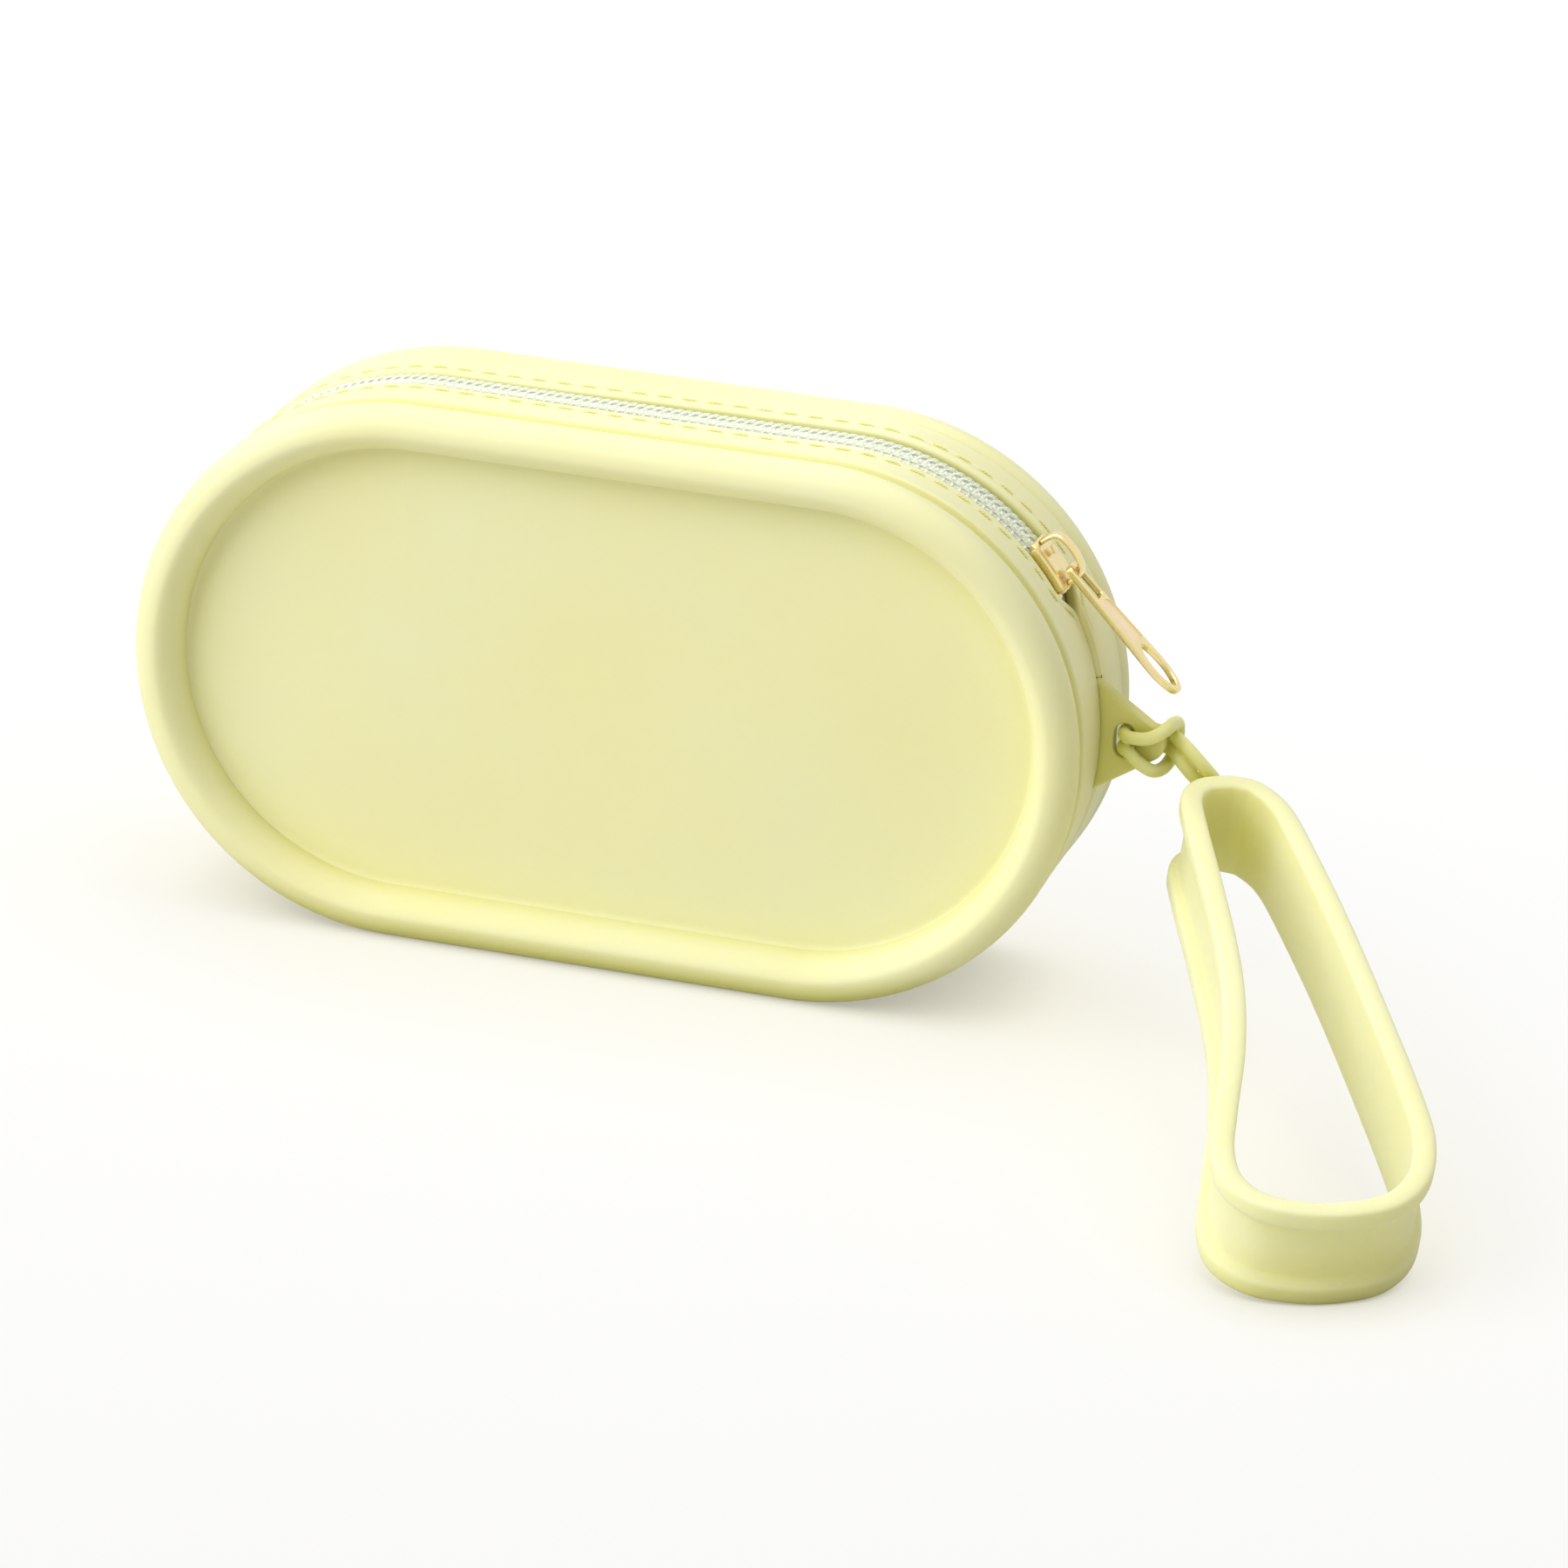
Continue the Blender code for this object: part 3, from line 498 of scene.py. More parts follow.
def plate(name, outlines, thickness, edge, mat, matrix, rounds=3):
    """Flat plate with rounded edges from closed outlines: the first is the edge, the rest holes."""
    curve = bpy.data.curves.new(name + "_outline", "CURVE")
    curve.dimensions = "2D"
    curve.fill_mode = "BOTH"
    curve.extrude = (thickness / 2 - edge) * MM
    curve.bevel_depth = edge * MM
    curve.bevel_resolution = rounds
    curve.offset = -edge * MM
    for outline in outlines:
        spline = curve.splines.new("POLY")
        spline.points.add(len(outline) - 1)
        for point, (x, y) in zip(spline.points, outline):
            point.co = (x * MM, y * MM, 0.0, 1.0)
        spline.use_cyclic_u = True
    obj = bpy.data.objects.new(name + "_outline", curve)
    bpy.context.scene.collection.objects.link(obj)
    obj.matrix_world = matrix
    bpy.context.view_layer.update()
    mesh = welded(baked_mesh(obj, name))
    bpy.data.curves.remove(curve)
    return place_mesh(name, mesh, mat)


def side_matrix(x=0.0, y=0.0, z=0.0):
    return Matrix.Translation((x * MM, y * MM, z * MM)) @ Matrix.Rotation(math.pi / 2, 4, "X")


def mirrored(points):
    """The points below the axis, in an order that goes on from those above it."""
    return [(x, -y) for x, y in reversed(points)]


def signed_power(value, power):
    return math.copysign(abs(value) ** power, value)


def arc(x, y, reach_x, reach_y, start, end, steps):
    """Points on part of an ellipse, with both ends. Angles are degrees."""
    points = []
    for i in range(steps + 1):
        a = math.radians(start + (end - start) * i / steps)
        points.append((x + reach_x * math.cos(a), y + reach_y * math.sin(a)))
    return points


def smooth_path(points, per_span=6, closed=False):
    """Catmull-Rom points through a list of points."""
    pts = [Vector(p) for p in points]
    run = [pts[-1]] + pts + pts[:2] if closed else [pts[0]] + pts + [pts[-1]]
    out = []
    for i in range(len(run) - 3):
        p0, p1, p2, p3 = run[i:i + 4]
        for k in range(per_span):
            t = k / per_span
            a = p1 * 2
            b = (p2 - p0) * t
            c = (p0 * 2 - p1 * 5 + p2 * 4 - p3) * t * t
            d = (p1 * 3 - p0 - p2 * 3 + p3) * t ** 3
            out.append((a + b + c + d) / 2)
    return out if closed else out + [pts[-1]]


def directions(points):
    """Unit vector along a path at each of its points."""
    run = [points[0]] + points + [points[-1]]
    return [(after - before).normalized() for before, after in zip(run, run[2:])]


def loft(bm, rings, closed_rings, closed_run):
    """Faces between rings of vertices, each with the numbers of its ring and its step."""
    count = len(rings)
    size = len(rings[0])
    runs = count if closed_run else count - 1
    steps = size if closed_rings else size - 1
    faces = []
    for i in range(runs):
        near = rings[i]
        far = rings[(i + 1) % count]
        for k in range(steps):
            face = bm.faces.new((near[k], near[(k + 1) % size], far[(k + 1) % size], far[k]))
            faces.append((face, i, k))
    return faces


def set_uvs(face, uv_layer, u0, u1, v0, v1):
    """UVs of a lofted face: u along the run, v across it."""
    for loop, corner in zip(face.loops, ((u0, v0), (u0, v1), (u1, v1), (u1, v0))):
        loop[uv_layer].uv = corner


CAP_SHARES = (0.35, 0.72, 0.93)
CAP_TIP = 0.2


def tube(bm, points, radius, sides=12, uv_layer=None):
    """Closed tube through points in millimetres, with rounded ends. Radius is a number or a list."""
    radii = radius if isinstance(radius, list) else [radius] * len(points)
    tangents = directions(points)
    normal = tangents[0].orthogonal().normalized()
    stations = []
    for centre, tangent, size in zip(points, tangents, radii):
        normal = (normal - tangent * normal.dot(tangent)).normalized()
        stations.append((centre, tangent, normal.copy(), size))

    def cap(station, share, direction):
        centre, tangent, side, size = station
        reach = tangent * size * math.sqrt(1 - share * share)
        return centre + reach * direction, tangent, side, size * share

    head = [cap(stations[0], share, -1) for share in CAP_SHARES]
    tail = [cap(stations[-1], share, 1) for share in reversed(CAP_SHARES)]
    stations = head + stations + tail
    rings = []
    lengths = [0.0]
    for i, (centre, tangent, side, size) in enumerate(stations):
        other = tangent.cross(side)
        ring = []
        for k in range(sides):
            turn = FULL_TURN * k / sides
            spot = centre + (side * math.cos(turn) + other * math.sin(turn)) * size
            ring.append(bm.verts.new(spot * MM))
        rings.append(ring)
        if i:
            lengths.append(lengths[-1] + (centre - stations[i - 1][0]).length)
    for face, i, k in loft(bm, rings, True, False):
        if uv_layer is not None:
            rim = FULL_TURN * stations[i][3] / sides
            set_uvs(face, uv_layer, lengths[i], lengths[i + 1], k * rim, (k + 1) * rim)
    tips = []
    for (centre, tangent, side, size), direction in ((stations[0], -1), (stations[-1], 1)):
        tips.append(bm.verts.new((centre + tangent * size * CAP_TIP * direction) * MM))
    for k in range(sides):
        bm.faces.new((tips[0], rings[0][(k + 1) % sides], rings[0][k]))
        bm.faces.new((tips[1], rings[-1][k], rings[-1][(k + 1) % sides]))


def box_piece(name, size, edge, mat, matrix):
    """Block with rounded edges."""
    bm = bmesh.new()
    bmesh.ops.create_cube(bm, size=1.0)
    bmesh.ops.scale(bm, vec=Vector(size) * MM, verts=bm.verts)
    bmesh.ops.bevel(bm, geom=bm.edges, offset=edge * MM, segments=3, profile=0.5, affect="EDGES")
    bmesh.ops.transform(bm, matrix=matrix, verts=bm.verts)
    return finish_mesh(name, bm, mat, 50.0)


# Places round the outline


def run_point(side, deg, rho):
    turn = math.radians(deg)
    return side * (HALF_STRAIGHT + rho * math.sin(turn)), CENTRE_Z + rho * math.cos(turn)


def end_matrix(side, deg, rho, y=0.0):
    """X along the run, Y across, Z outwards, on either end."""
    x, z = run_point(side, deg, rho)
    return Matrix.Translation((x * MM, y * MM, z * MM)) @ Matrix.Rotation(math.radians(side * deg), 4, "Y")


def run_frame(distance, rho):
    if abs(distance) <= HALF_STRAIGHT:
        return Matrix.Translation((distance * MM, 0.0, (CENTRE_Z + rho) * MM))
    deg = math.degrees((abs(distance) - HALF_STRAIGHT) / rho)
    return end_matrix(1 if distance > 0 else -1, deg, rho)


def run_length(deg, rho):
    return HALF_STRAIGHT + math.radians(deg) * rho


def run_spot(distance, rho_base, y, rho):
    """Point in millimetres at a distance along the run of radius rho_base."""
    place = run_frame(distance, rho_base) @ Matrix.Translation((0.0, y * MM, (rho - rho_base) * MM))
    return place.translation / MM


def blend_share(value, low, high):
    share = min(1.0, max(0.0, (value - low) / (high - low)))
    return share * share * (3 - 2 * share)


# Moulded halves


def lip_full(side, along):
    """Half width of the open slit. It is narrower on the left, away from the slider."""
    x = side * HALF_STRAIGHT if along is None else along
    return LIP_HALF_LEFT + (LIP_HALF - LIP_HALF_LEFT) * blend_share(x, -HALF_STRAIGHT, LIP_WIDENS_TO)


def lip_half(side, deg, along=None):
    """Half width of the opening between the halves: slit, seam, and the pocket of the tab."""
    full = lip_full(side, along)
    if deg <= SLIT_FULL_DEG:
        return full
    share = blend_share(deg, SLIT_FULL_DEG, SLIT_END_DEG)
    lip = max(SEAM_HALF, full + (SEAM_HALF - full) * share)
    if side > 0:
        pocket = TAB_T / 2 + POCKET_PLAY
        inside = blend_share(deg, *POCKET_START_DEG) * (1.0 - blend_share(deg, *POCKET_END_DEG))
        lip = max(lip, SEAM_HALF + (pocket - SEAM_HALF) * inside)
    return lip


def panel_crown(x, z, rho):
    """Slow unevenness of the flat panel, zero at its edge."""
    fade = 1.0 - min(1.0, rho / CROWN_RHO) ** 2
    wave = noise.noise(Vector((x * 0.022, z * 0.03, 4.2)))
    return fade * (CROWN_RISE + CROWN_WAVE * wave)


def stitch_row(side, deg, along=None):
    """Distance of a row of stitches from the seam. The rows draw in with the lips."""
    return lip_half(side, min(deg, 75.0), along) + GROOVE_Y - LIP_HALF


def panel_profile():
    """Distance from the end's centre, then from the seam: the panel and the soft corner at its edge."""
    points = [(rho, PANEL_Y) for rho in PANEL_RHOS]
    corner = ((34.5, 0.02), (35.05, 0.08), (35.35, 0.2), (35.52, 0.38))
    return points + [(rho, PANEL_Y + rise) for rho, rise in corner]


def rim_profile():
    """Up the rim's inner flank, over its crest and down to the tuck outside it."""
    points = []
    steps = 18
    for i in range(steps):
        a = math.radians(90.0 * i / steps)
        reach = FLANK_REACH * math.cos(a) ** FLANK_POWER
        rise = (BEAD_Y + BEAD_R - FLANK_FOOT) * math.sin(a) ** FLANK_POWER
        points.append((BEAD_RHO - reach, FLANK_FOOT + rise))
    last = -math.degrees(math.acos((WALL_OUT - VALLEY - BEAD_RHO) / BEAD_R))
    return points + arc(BEAD_RHO, BEAD_Y, BEAD_R, BEAD_R, 90, last, 24)


def wall_profile(foot, groove_y, groove_depth):
    """From the tuck at the rim's foot over a low ridge, and along the wall past the stitches' groove."""
    tuck = (
        (VALLEY + 0.06, 0.16), (VALLEY + 0.05, 0.34), (VALLEY - 0.08, 0.50), (VALLEY * 0.55, 0.66),
        (VALLEY * 0.18, 0.80), (-0.04, 0.95), (-RIDGE, 1.25), (-RIDGE * 0.7, 1.7), (0.0, 2.3),
    )
    points = [(WALL_OUT - depth, foot - inward) for depth, inward in tuck]
    points += [(WALL_OUT, y) for y in (10.2, 9.2, 8.4)]
    groove = [(1.0, 0.0), (0.7, 0.12), (0.42, 0.6), (0.2, 0.93), (0.0, 1.0)]
    groove += [(-offset, depth) for offset, depth in reversed(groove[:-1])]
    points += [(WALL_OUT - groove_depth * depth, groove_y + offset * GROOVE_HALF) for offset, depth in groove]
    return points


def lip_profile(lip, sink):
    """Rounded lip, with a soft valley along the seam where the halves meet."""

    def dip(y):
        return sink * max(0.0, 1.0 - y / SEAM_DIP_REACH) ** 2

    wide = (lip - SEAM_HALF) / (LIP_HALF - SEAM_HALF)
    edge = LIP_EDGE_SEAM + (LIP_EDGE_OPEN - LIP_EDGE_SEAM) * wide
    points = [(WALL_OUT - dip(lip + edge + before), lip + edge + before) for before in (0.5, 0.25)]
    for turn in (90, 75, 60, 45, 30, 15, 0):
        a = math.radians(turn)
        y = lip + edge - edge * math.cos(a)
        points.append((WALL_OUT - edge + edge * math.sin(a) - dip(y), y))
    return points + [((WALL_OUT + WALL_IN) / 2, lip), (WALL_IN + 0.4, lip)]


def inner_profile(lip):
    """Back along the inside of the wall and of the panel."""
    back = PANEL_Y - PANEL_T
    points = [(WALL_IN + 0.12, lip + 0.12), (WALL_IN, lip + 0.4), (WALL_IN, 7.0)]
    points += [(WALL_IN, back - 1.5), (WALL_IN - 0.45, back - 0.45), (WALL_IN - 1.5, back)]
    return points + [(rho, back) for rho in INSIDE_RHOS]


def half_section(side, deg, along):
    top_x = along if deg < 90.0 else None
    lip = lip_half(side, deg, top_x)
    sink = SEAM_DIP * blend_share(deg, SLIT_END_DEG - 7.0, SLIT_END_DEG + 1.0)
    groove_depth = GROOVE_DEPTH * (1.0 - blend_share(deg, THREAD_END_DEG - 1.0, THREAD_END_DEG + 2.0))
    points = panel_profile() + rim_profile()
    points += wall_profile(points[-1][1], stitch_row(side, deg, top_x), groove_depth)
    return points + lip_profile(lip, sink) + inner_profile(lip)


def end_angles():
    """Angles round one end, closer together where the lips and the tab's pocket change."""
    degs = [2.5 * i for i in range(22)] + [53.7]
    degs += [SLIT_FULL_DEG + 0.75 * i for i in range(13)] + [64.5, 66.0, 67.5, 69.0, 70.5, 72.0, 74.0, 75.5]
    degs += [76.0, 76.25, 76.45, 76.65, 76.9, 78.0, 80.0] + [82.5 + 2.5 * i for i in range(7)]
    degs += [99.0, 99.6, 99.85, 100.05, 100.25, 100.5, 101.5, 103.0]
    return degs + [105.0 + 2.5 * i for i in range(31)]


def shell_stations():
    """Side, angle and place along the straight run, for each section of a half."""
    degs = end_angles()
    right = [(1, deg, None) for deg in degs]
    left = [(-1, deg, None) for deg in reversed(degs)]
    steps = 12
    bottom = [(0, 180.0, HALF_STRAIGHT * (1 - 2 * i / steps)) for i in range(1, steps)]
    top = [(0, 0.0, HALF_STRAIGHT * (2 * i / steps - 1)) for i in range(1, steps)]
    return right + bottom + left + top


def panel_middle(bm, rings, sign):
    """Close the panel between its innermost ring and a line of points along its middle."""
    keys = []
    middle = {}
    for side, _, along in shell_stations():
        x = side * HALF_STRAIGHT if along is None else along
        key = round(x, 3)
        keys.append(key)
        if key not in middle:
            y = PANEL_Y + panel_crown(x, CENTRE_Z, 0.0)
            middle[key] = bm.verts.new((x * MM, sign * y * MM, CENTRE_Z * MM))
    count = len(rings)
    for i in range(count):
        near = middle[keys[i]]
        far = middle[keys[(i + 1) % count]]
        edge = [rings[i][0], rings[(i + 1) % count][0]]
        bm.faces.new(edge + ([near] if near is far else [far, near]))


def shell(name, sign, mat):
    bm = bmesh.new()
    rings = []
    for side, deg, along in shell_stations():
        ring = []
        for index, (rho, y) in enumerate(half_section(side, deg, along)):
            x, z = run_point(side, deg, rho)
            if along is not None:
                x = along
            if index < len(PANEL_RHOS):
                y += panel_crown(x, z, rho)
            ring.append(bm.verts.new((x * MM, sign * y * MM, max(z, 0.0) * MM)))
        rings.append(ring)
    loft(bm, rings, False, True)
    panel_middle(bm, rings, sign)
    bm.faces.new([ring[-1] for ring in rings])
    bmesh.ops.remove_doubles(bm, verts=bm.verts, dist=0.0000005)
    return finish_mesh(name, bm, mat, 50.0)


bag_silicone = silicone("bag_silicone", BAG_RGB)
for side_name, side_sign in (("front", -1), ("back", 1)):
    half = shell("bag_half_" + side_name, side_sign, bag_silicone)
    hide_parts(side_name + "_shell")
    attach(half, "bag")


# Strap tab


def strap_tab(mat):
    root = TAB_ROOT_X - HOLE_X
    tip = TAB_TIP_X - HOLE_X
    shoulder = WALL_OUT + HALF_STRAIGHT - HOLE_X
    outline = [(root, -TAB_HALF_H), (shoulder - 1.2, -TAB_HALF_H)]
    outline += [(shoulder - 0.6, 0.1 - TAB_HALF_H), (shoulder - 0.2, 0.45 - TAB_HALF_H)]
    outline += arc(tip - TAB_TIP_HALF_H, 0.0, TAB_TIP_HALF_H, TAB_TIP_HALF_H, -60, 60, 16) + mirrored(outline)
    end = HOLE_HALF_H - HOLE_HALF_W
    hole = arc(0.0, end, HOLE_HALF_W, HOLE_HALF_W, 0, 180, 12)
    hole += arc(0.0, -end, HOLE_HALF_W, HOLE_HALF_W, 180, 360, 12)
    return plate("tab_silicone_piece", [outline, hole], TAB_T, 0.42, mat, side_matrix(HOLE_X, 0.0, TAB_Z), 4)


# The tab's silicone carries painted shade in its colour, for the bag's shadow over it.
tab_silicone = silicone("tab_silicone", TAB_SHADED_RGB)
tab = strap_tab(tab_silicone)
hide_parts("strap_tab")
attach(tab, "bag")


# Zip tapes, coils and stitches

SELVEDGE = 0.25
TAPE_ROWS = 14
TAPE_STEPS = 190


def tape_section():
    """Distance from the seam, then height over the tape's middle, with rounded selvedges."""
    half_t = TAPE_T / 2
    first = TAPE_EDGE_IN + SELVEDGE
    width = TAPE_EDGE_OUT - TAPE_EDGE_IN - 2 * SELVEDGE
    upper = [(TAPE_EDGE_IN + 0.06, half_t * 0.75)]
    upper += [(first + width * k / TAPE_ROWS, half_t) for k in range(TAPE_ROWS + 1)]
    upper += [(TAPE_EDGE_OUT - 0.06, half_t * 0.75)]
    return [(TAPE_EDGE_IN, 0.0)] + upper + [(TAPE_EDGE_OUT, 0.0)] + mirrored(upper)


def zip_tape(name, sign, mat):
    """Thin woven strip that follows the top, a little rippled."""
    bm = bmesh.new()
    uv_layer = bm.loops.layers.uv.new("weave")
    middle = (TAPE_OUT + TAPE_IN) / 2
    limit = run_length(TAPE_END_DEG, middle)
    section = tape_section()
    distances = [-limit + 2 * limit * i / TAPE_STEPS for i in range(TAPE_STEPS + 1)]
    rings = []
    for distance in distances:
        ring = []
        for y, height in section:
            ripple = 0.03 * abs(math.sin(distance * 1.7 + y)) if height > 0 else 0.0
            ring.append(bm.verts.new(run_spot(distance, middle, sign * y, middle + height - ripple) * MM))
        rings.append(ring)
    for face, i, k in loft(bm, rings, True, False):
        across = section[(k + 1) % len(section)][0]
        set_uvs(face, uv_layer, distances[i], distances[i + 1], section[k][0], across)
    bm.faces.new(rings[0])
    bm.faces.new(rings[-1])
    return finish_mesh(name, bm, mat, 60.0)


def coil_run(left_margin, right_margin):
    """Ends of a run along the coil, from the middle of the top."""
    left = -run_length(COIL_LEFT_DEG, COIL_RHO)
    return left + left_margin, run_length(COIL_RIGHT_DEG, COIL_RHO) - right_margin


def coil_loops(name, sign, mat):
    """One side of the coil: a flattened winding whose heads reach into the other side."""
    bm = bmesh.new()
    half_h = (COIL_OUT - COIL_IN) / 2 - WIRE_R
    tail = COIL_EDGE_OUT - WIRE_R
    middle = (COIL_HEAD + tail) / 2
    reach = (tail - COIL_HEAD) / 2
    first, last = coil_run(1.2, 0.4)
    turns = int((last - first) / COIL_PITCH)
    phase = 0.0 if sign < 0 else 0.5
    steps = 16
    points = []
    radii = []
    for i in range(turns * steps + 1):
        turn = i / steps
        a = FULL_TURN * turn
        lean = 0.015 * (math.cos(a) - 1.0)
        advance = turn + 0.16 * math.sin(a)
        y = middle - reach * math.cos(a)
        height = half_h * signed_power(math.sin(a), 0.7)
        swell = 1.0 + 0.28 * max(0.0, math.cos(a)) ** 6
        distance = first + (advance + phase + lean) * COIL_PITCH
        points.append(run_spot(distance, COIL_RHO, sign * y, COIL_RHO + height))
        radii.append(WIRE_R * swell)
    tube(bm, points, radii, 8)
    return finish_mesh(name, bm, mat, 80.0)


def coil_sewing(bm, sign, uv_layer):
    """Thread that holds the coil to its tape: slanted stitches over each loop."""
    first, last = coil_run(1.2, 0.8)
    distance = first + (0.0 if sign < 0 else COIL_PITCH / 2)
    steps = 6
    while distance < last:
        for y0, y1 in ((1.32, 1.62), (2.0, 2.32)):
            stitch = []
            for k in range(steps + 1):
                t = k / steps
                along = distance + (t - 0.5) * COIL_PITCH * 0.92
                rho = COIL_OUT - 0.12 + 0.20 * math.sin(math.pi * t)
                stitch.append(run_spot(along, COIL_RHO, sign * (y0 + (y1 - y0) * t), rho))
            tube(bm, stitch, COIL_SEWING_R, 6, uv_layer)
        distance += COIL_PITCH


def coil_filler(bm, sign, uv_layer):
    """Soft cords that lie inside the winding and fill it."""
    first, last = coil_run(0.8, 0.6)
    steps = 150
    for y in FILLER_ROWS:
        points = []
        for i in range(steps + 1):
            distance = first + (last - first) * i / steps
            points.append(run_spot(distance, COIL_RHO, sign * y, COIL_RHO + FILLER_LIFT))
        tube(bm, points, FILLER_R, 8, uv_layer)


def stitch_profile():
    """Distance along a stitch, then from the end's centre: it dips through the silicone at both ends."""
    floor = WALL_OUT - STITCH_SINK
    near = [(-0.10, THREAD_DIP - 0.30), (0.05, THREAD_DIP + 0.05), (0.45, floor + 0.20), (1.0, floor + 0.27)]
    far = [(STITCH_SHOW - along, rho) for along, rho in reversed(near)]
    return near + [(STITCH_SHOW / 2, floor + 0.29)] + far


def seam_stitches(name, sign, mat):
    """Lockstitches along the lip."""
    bm = bmesh.new()
    uv_layer = bm.loops.layers.uv.new("thread")
    rng = random.Random(7 + sign)
    limit = run_length(THREAD_END_DEG, THREAD_TOP) - 1.0
    start = -limit
    while start + STITCH_SHOW < limit:
        wobble = rng.uniform(-STITCH_WOBBLE, STITCH_WOBBLE)
        points = []
        for along, rho in stitch_profile():
            place = start + along
            deg = math.degrees(max(0.0, abs(place) - HALF_STRAIGHT) / THREAD_TOP)
            row = stitch_row(1 if place > 0 else -1, deg, place if deg == 0.0 else None)
            points.append(run_spot(place, THREAD_TOP, sign * (row + wobble), rho))
        tube(bm, smooth_path(points, 3), THREAD_R, 8, uv_layer)
        start += STITCH_PITCH
    return finish_mesh(name, bm, mat, 80.0)


tape_cloth = woven_tape("tape_cloth", TAPE_RGB)
coil_nylon = nylon("coil_nylon", COIL_RGB)
sewing_yarn = yarn("sewing_yarn", COIL_THREAD_RGB)
seam_yarn = yarn("seam_yarn", STITCH_RGB)
for side_name, side_sign in (("front", -1), ("back", 1)):
    tape = zip_tape("tape_" + side_name, side_sign, tape_cloth)
    winding = coil_loops("coil_winding_" + side_name, side_sign, coil_nylon)
    sewing = bmesh.new()
    sewing_uv = sewing.loops.layers.uv.new("thread")
    coil_sewing(sewing, side_sign, sewing_uv)
    coil_filler(sewing, side_sign, sewing_uv)
    sewn = finish_mesh("coil_sewing_" + side_name, sewing, sewing_yarn, 80.0)
    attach(sewn, "bag")
    row = seam_stitches("seam_stitches_" + side_name, side_sign, seam_yarn)
    for piece, node, slot in (
        (tape, "zip_tape_", "zip_tape"), (winding, "coil_", "zip_coil"), (row, "seam_thread_", "thread"),
    ):
        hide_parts(node + side_name)
        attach(piece, "bag")


# Slider, bridge, lock spring and stops


def slider_width(t):
    """Half width of the slider: a little wider at its mouth, drawn in at both ends."""
    end = 1.0 - 0.16 * max(0.0, abs(t) - 0.72) / 0.28
    return SLIDER_HALF_W * (end * (0.965 + 0.035 * t))


def corner_drop(edge, gap):
    """How far an edge of that radius has dropped, at a distance from the border."""
    return edge - math.sqrt(max(0.0, edge * edge - max(0.0, edge - gap) ** 2))


def arc_plate(name, rho_in, rho_out, edge, mat):
    """Plate of the slider, curved with the bag's end, with rounded upper edges."""
    bm = bmesh.new()
    rings = []
    steps = 28
    rows = 12
    for i in range(steps + 1):
        t = -1 + 2 * i / steps
        width = slider_width(t)
        squeeze = corner_drop(edge, (1 - abs(t)) * math.radians(SLIDER_HALF_DEG) * rho_out)
        upper = []
        for k in range(rows + 1):
            y = -1 + 2 * k / rows
            upper.append((y * width, rho_out - squeeze - corner_drop(edge, (1 - abs(y)) * width)))
        ring = []
        for y, rho in upper + [(y, rho_in + squeeze * 0.6) for y, _ in reversed(upper)]:
            x, z = run_point(1, SLIDER_DEG + SLIDER_HALF_DEG * t, rho)
            ring.append(bm.verts.new((x * MM, y * MM, z * MM)))
        rings.append(ring)
    loft(bm, rings, True, False)
    bm.faces.new(rings[0])
    bm.faces.new(rings[-1])
    bmesh.ops.remove_doubles(bm, verts=bm.verts, dist=0.000004)
    return finish_mesh(name, bm, mat, 45.0)


def guide(mat, sign):
    """Flange along one side of the slider."""
    outline = []
    for rho, way in ((TOP_PLATE_OUT - 0.25, 1), (SIDE_IN, -1)):
        reach = way * (SLIDER_HALF_DEG - 0.9)
        outline += arc(0.0, 0.0, rho, rho, 90 - SLIDER_DEG + reach, 90 - SLIDER_DEG - reach, 12)
    y = sign * (SLIDER_HALF_W * 0.955 - 0.33)
    return plate("guide", [outline], GUIDE_T, 0.16, mat, side_matrix(HALF_STRAIGHT, y, CENTRE_Z), 2)


def divider(mat):
    """Wedge between the plates that parts the two rows of teeth."""
    outline = [(-1.7, -0.35), (-1.5, -0.44), (1.2, -1.25), (1.6, -1.15), (1.7, -0.9)]
    height = TOP_PLATE_IN - BOTTOM_PLATE_OUT + 0.8
    place = end_matrix(1, SLIDER_DEG + SLIDER_HALF_DEG - 3.2, (TOP_PLATE_IN + BOTTOM_PLATE_OUT) / 2)
    return plate("divider", [outline + mirrored(outline)], height, 0.1, mat, place, 2)


def slider(mat):
    top = arc_plate("slider_shell", TOP_PLATE_IN, TOP_PLATE_OUT, 0.32, mat)
    for sign in (-1, 1):
        top = combine(top, guide(mat, sign), "UNION")
    top = combine(top, divider(mat), "UNION")
    low = arc_plate("slider_low", BOTTOM_PLATE_IN, BOTTOM_PLATE_OUT, 0.2, mat)
    return combine(top, low, "UNION")


def slider_place(along, height):
    place = end_matrix(1, SLIDER_DEG, TOP_PLATE_OUT)
    return place @ Matrix.Translation((along * MM, 0.0, height * MM))


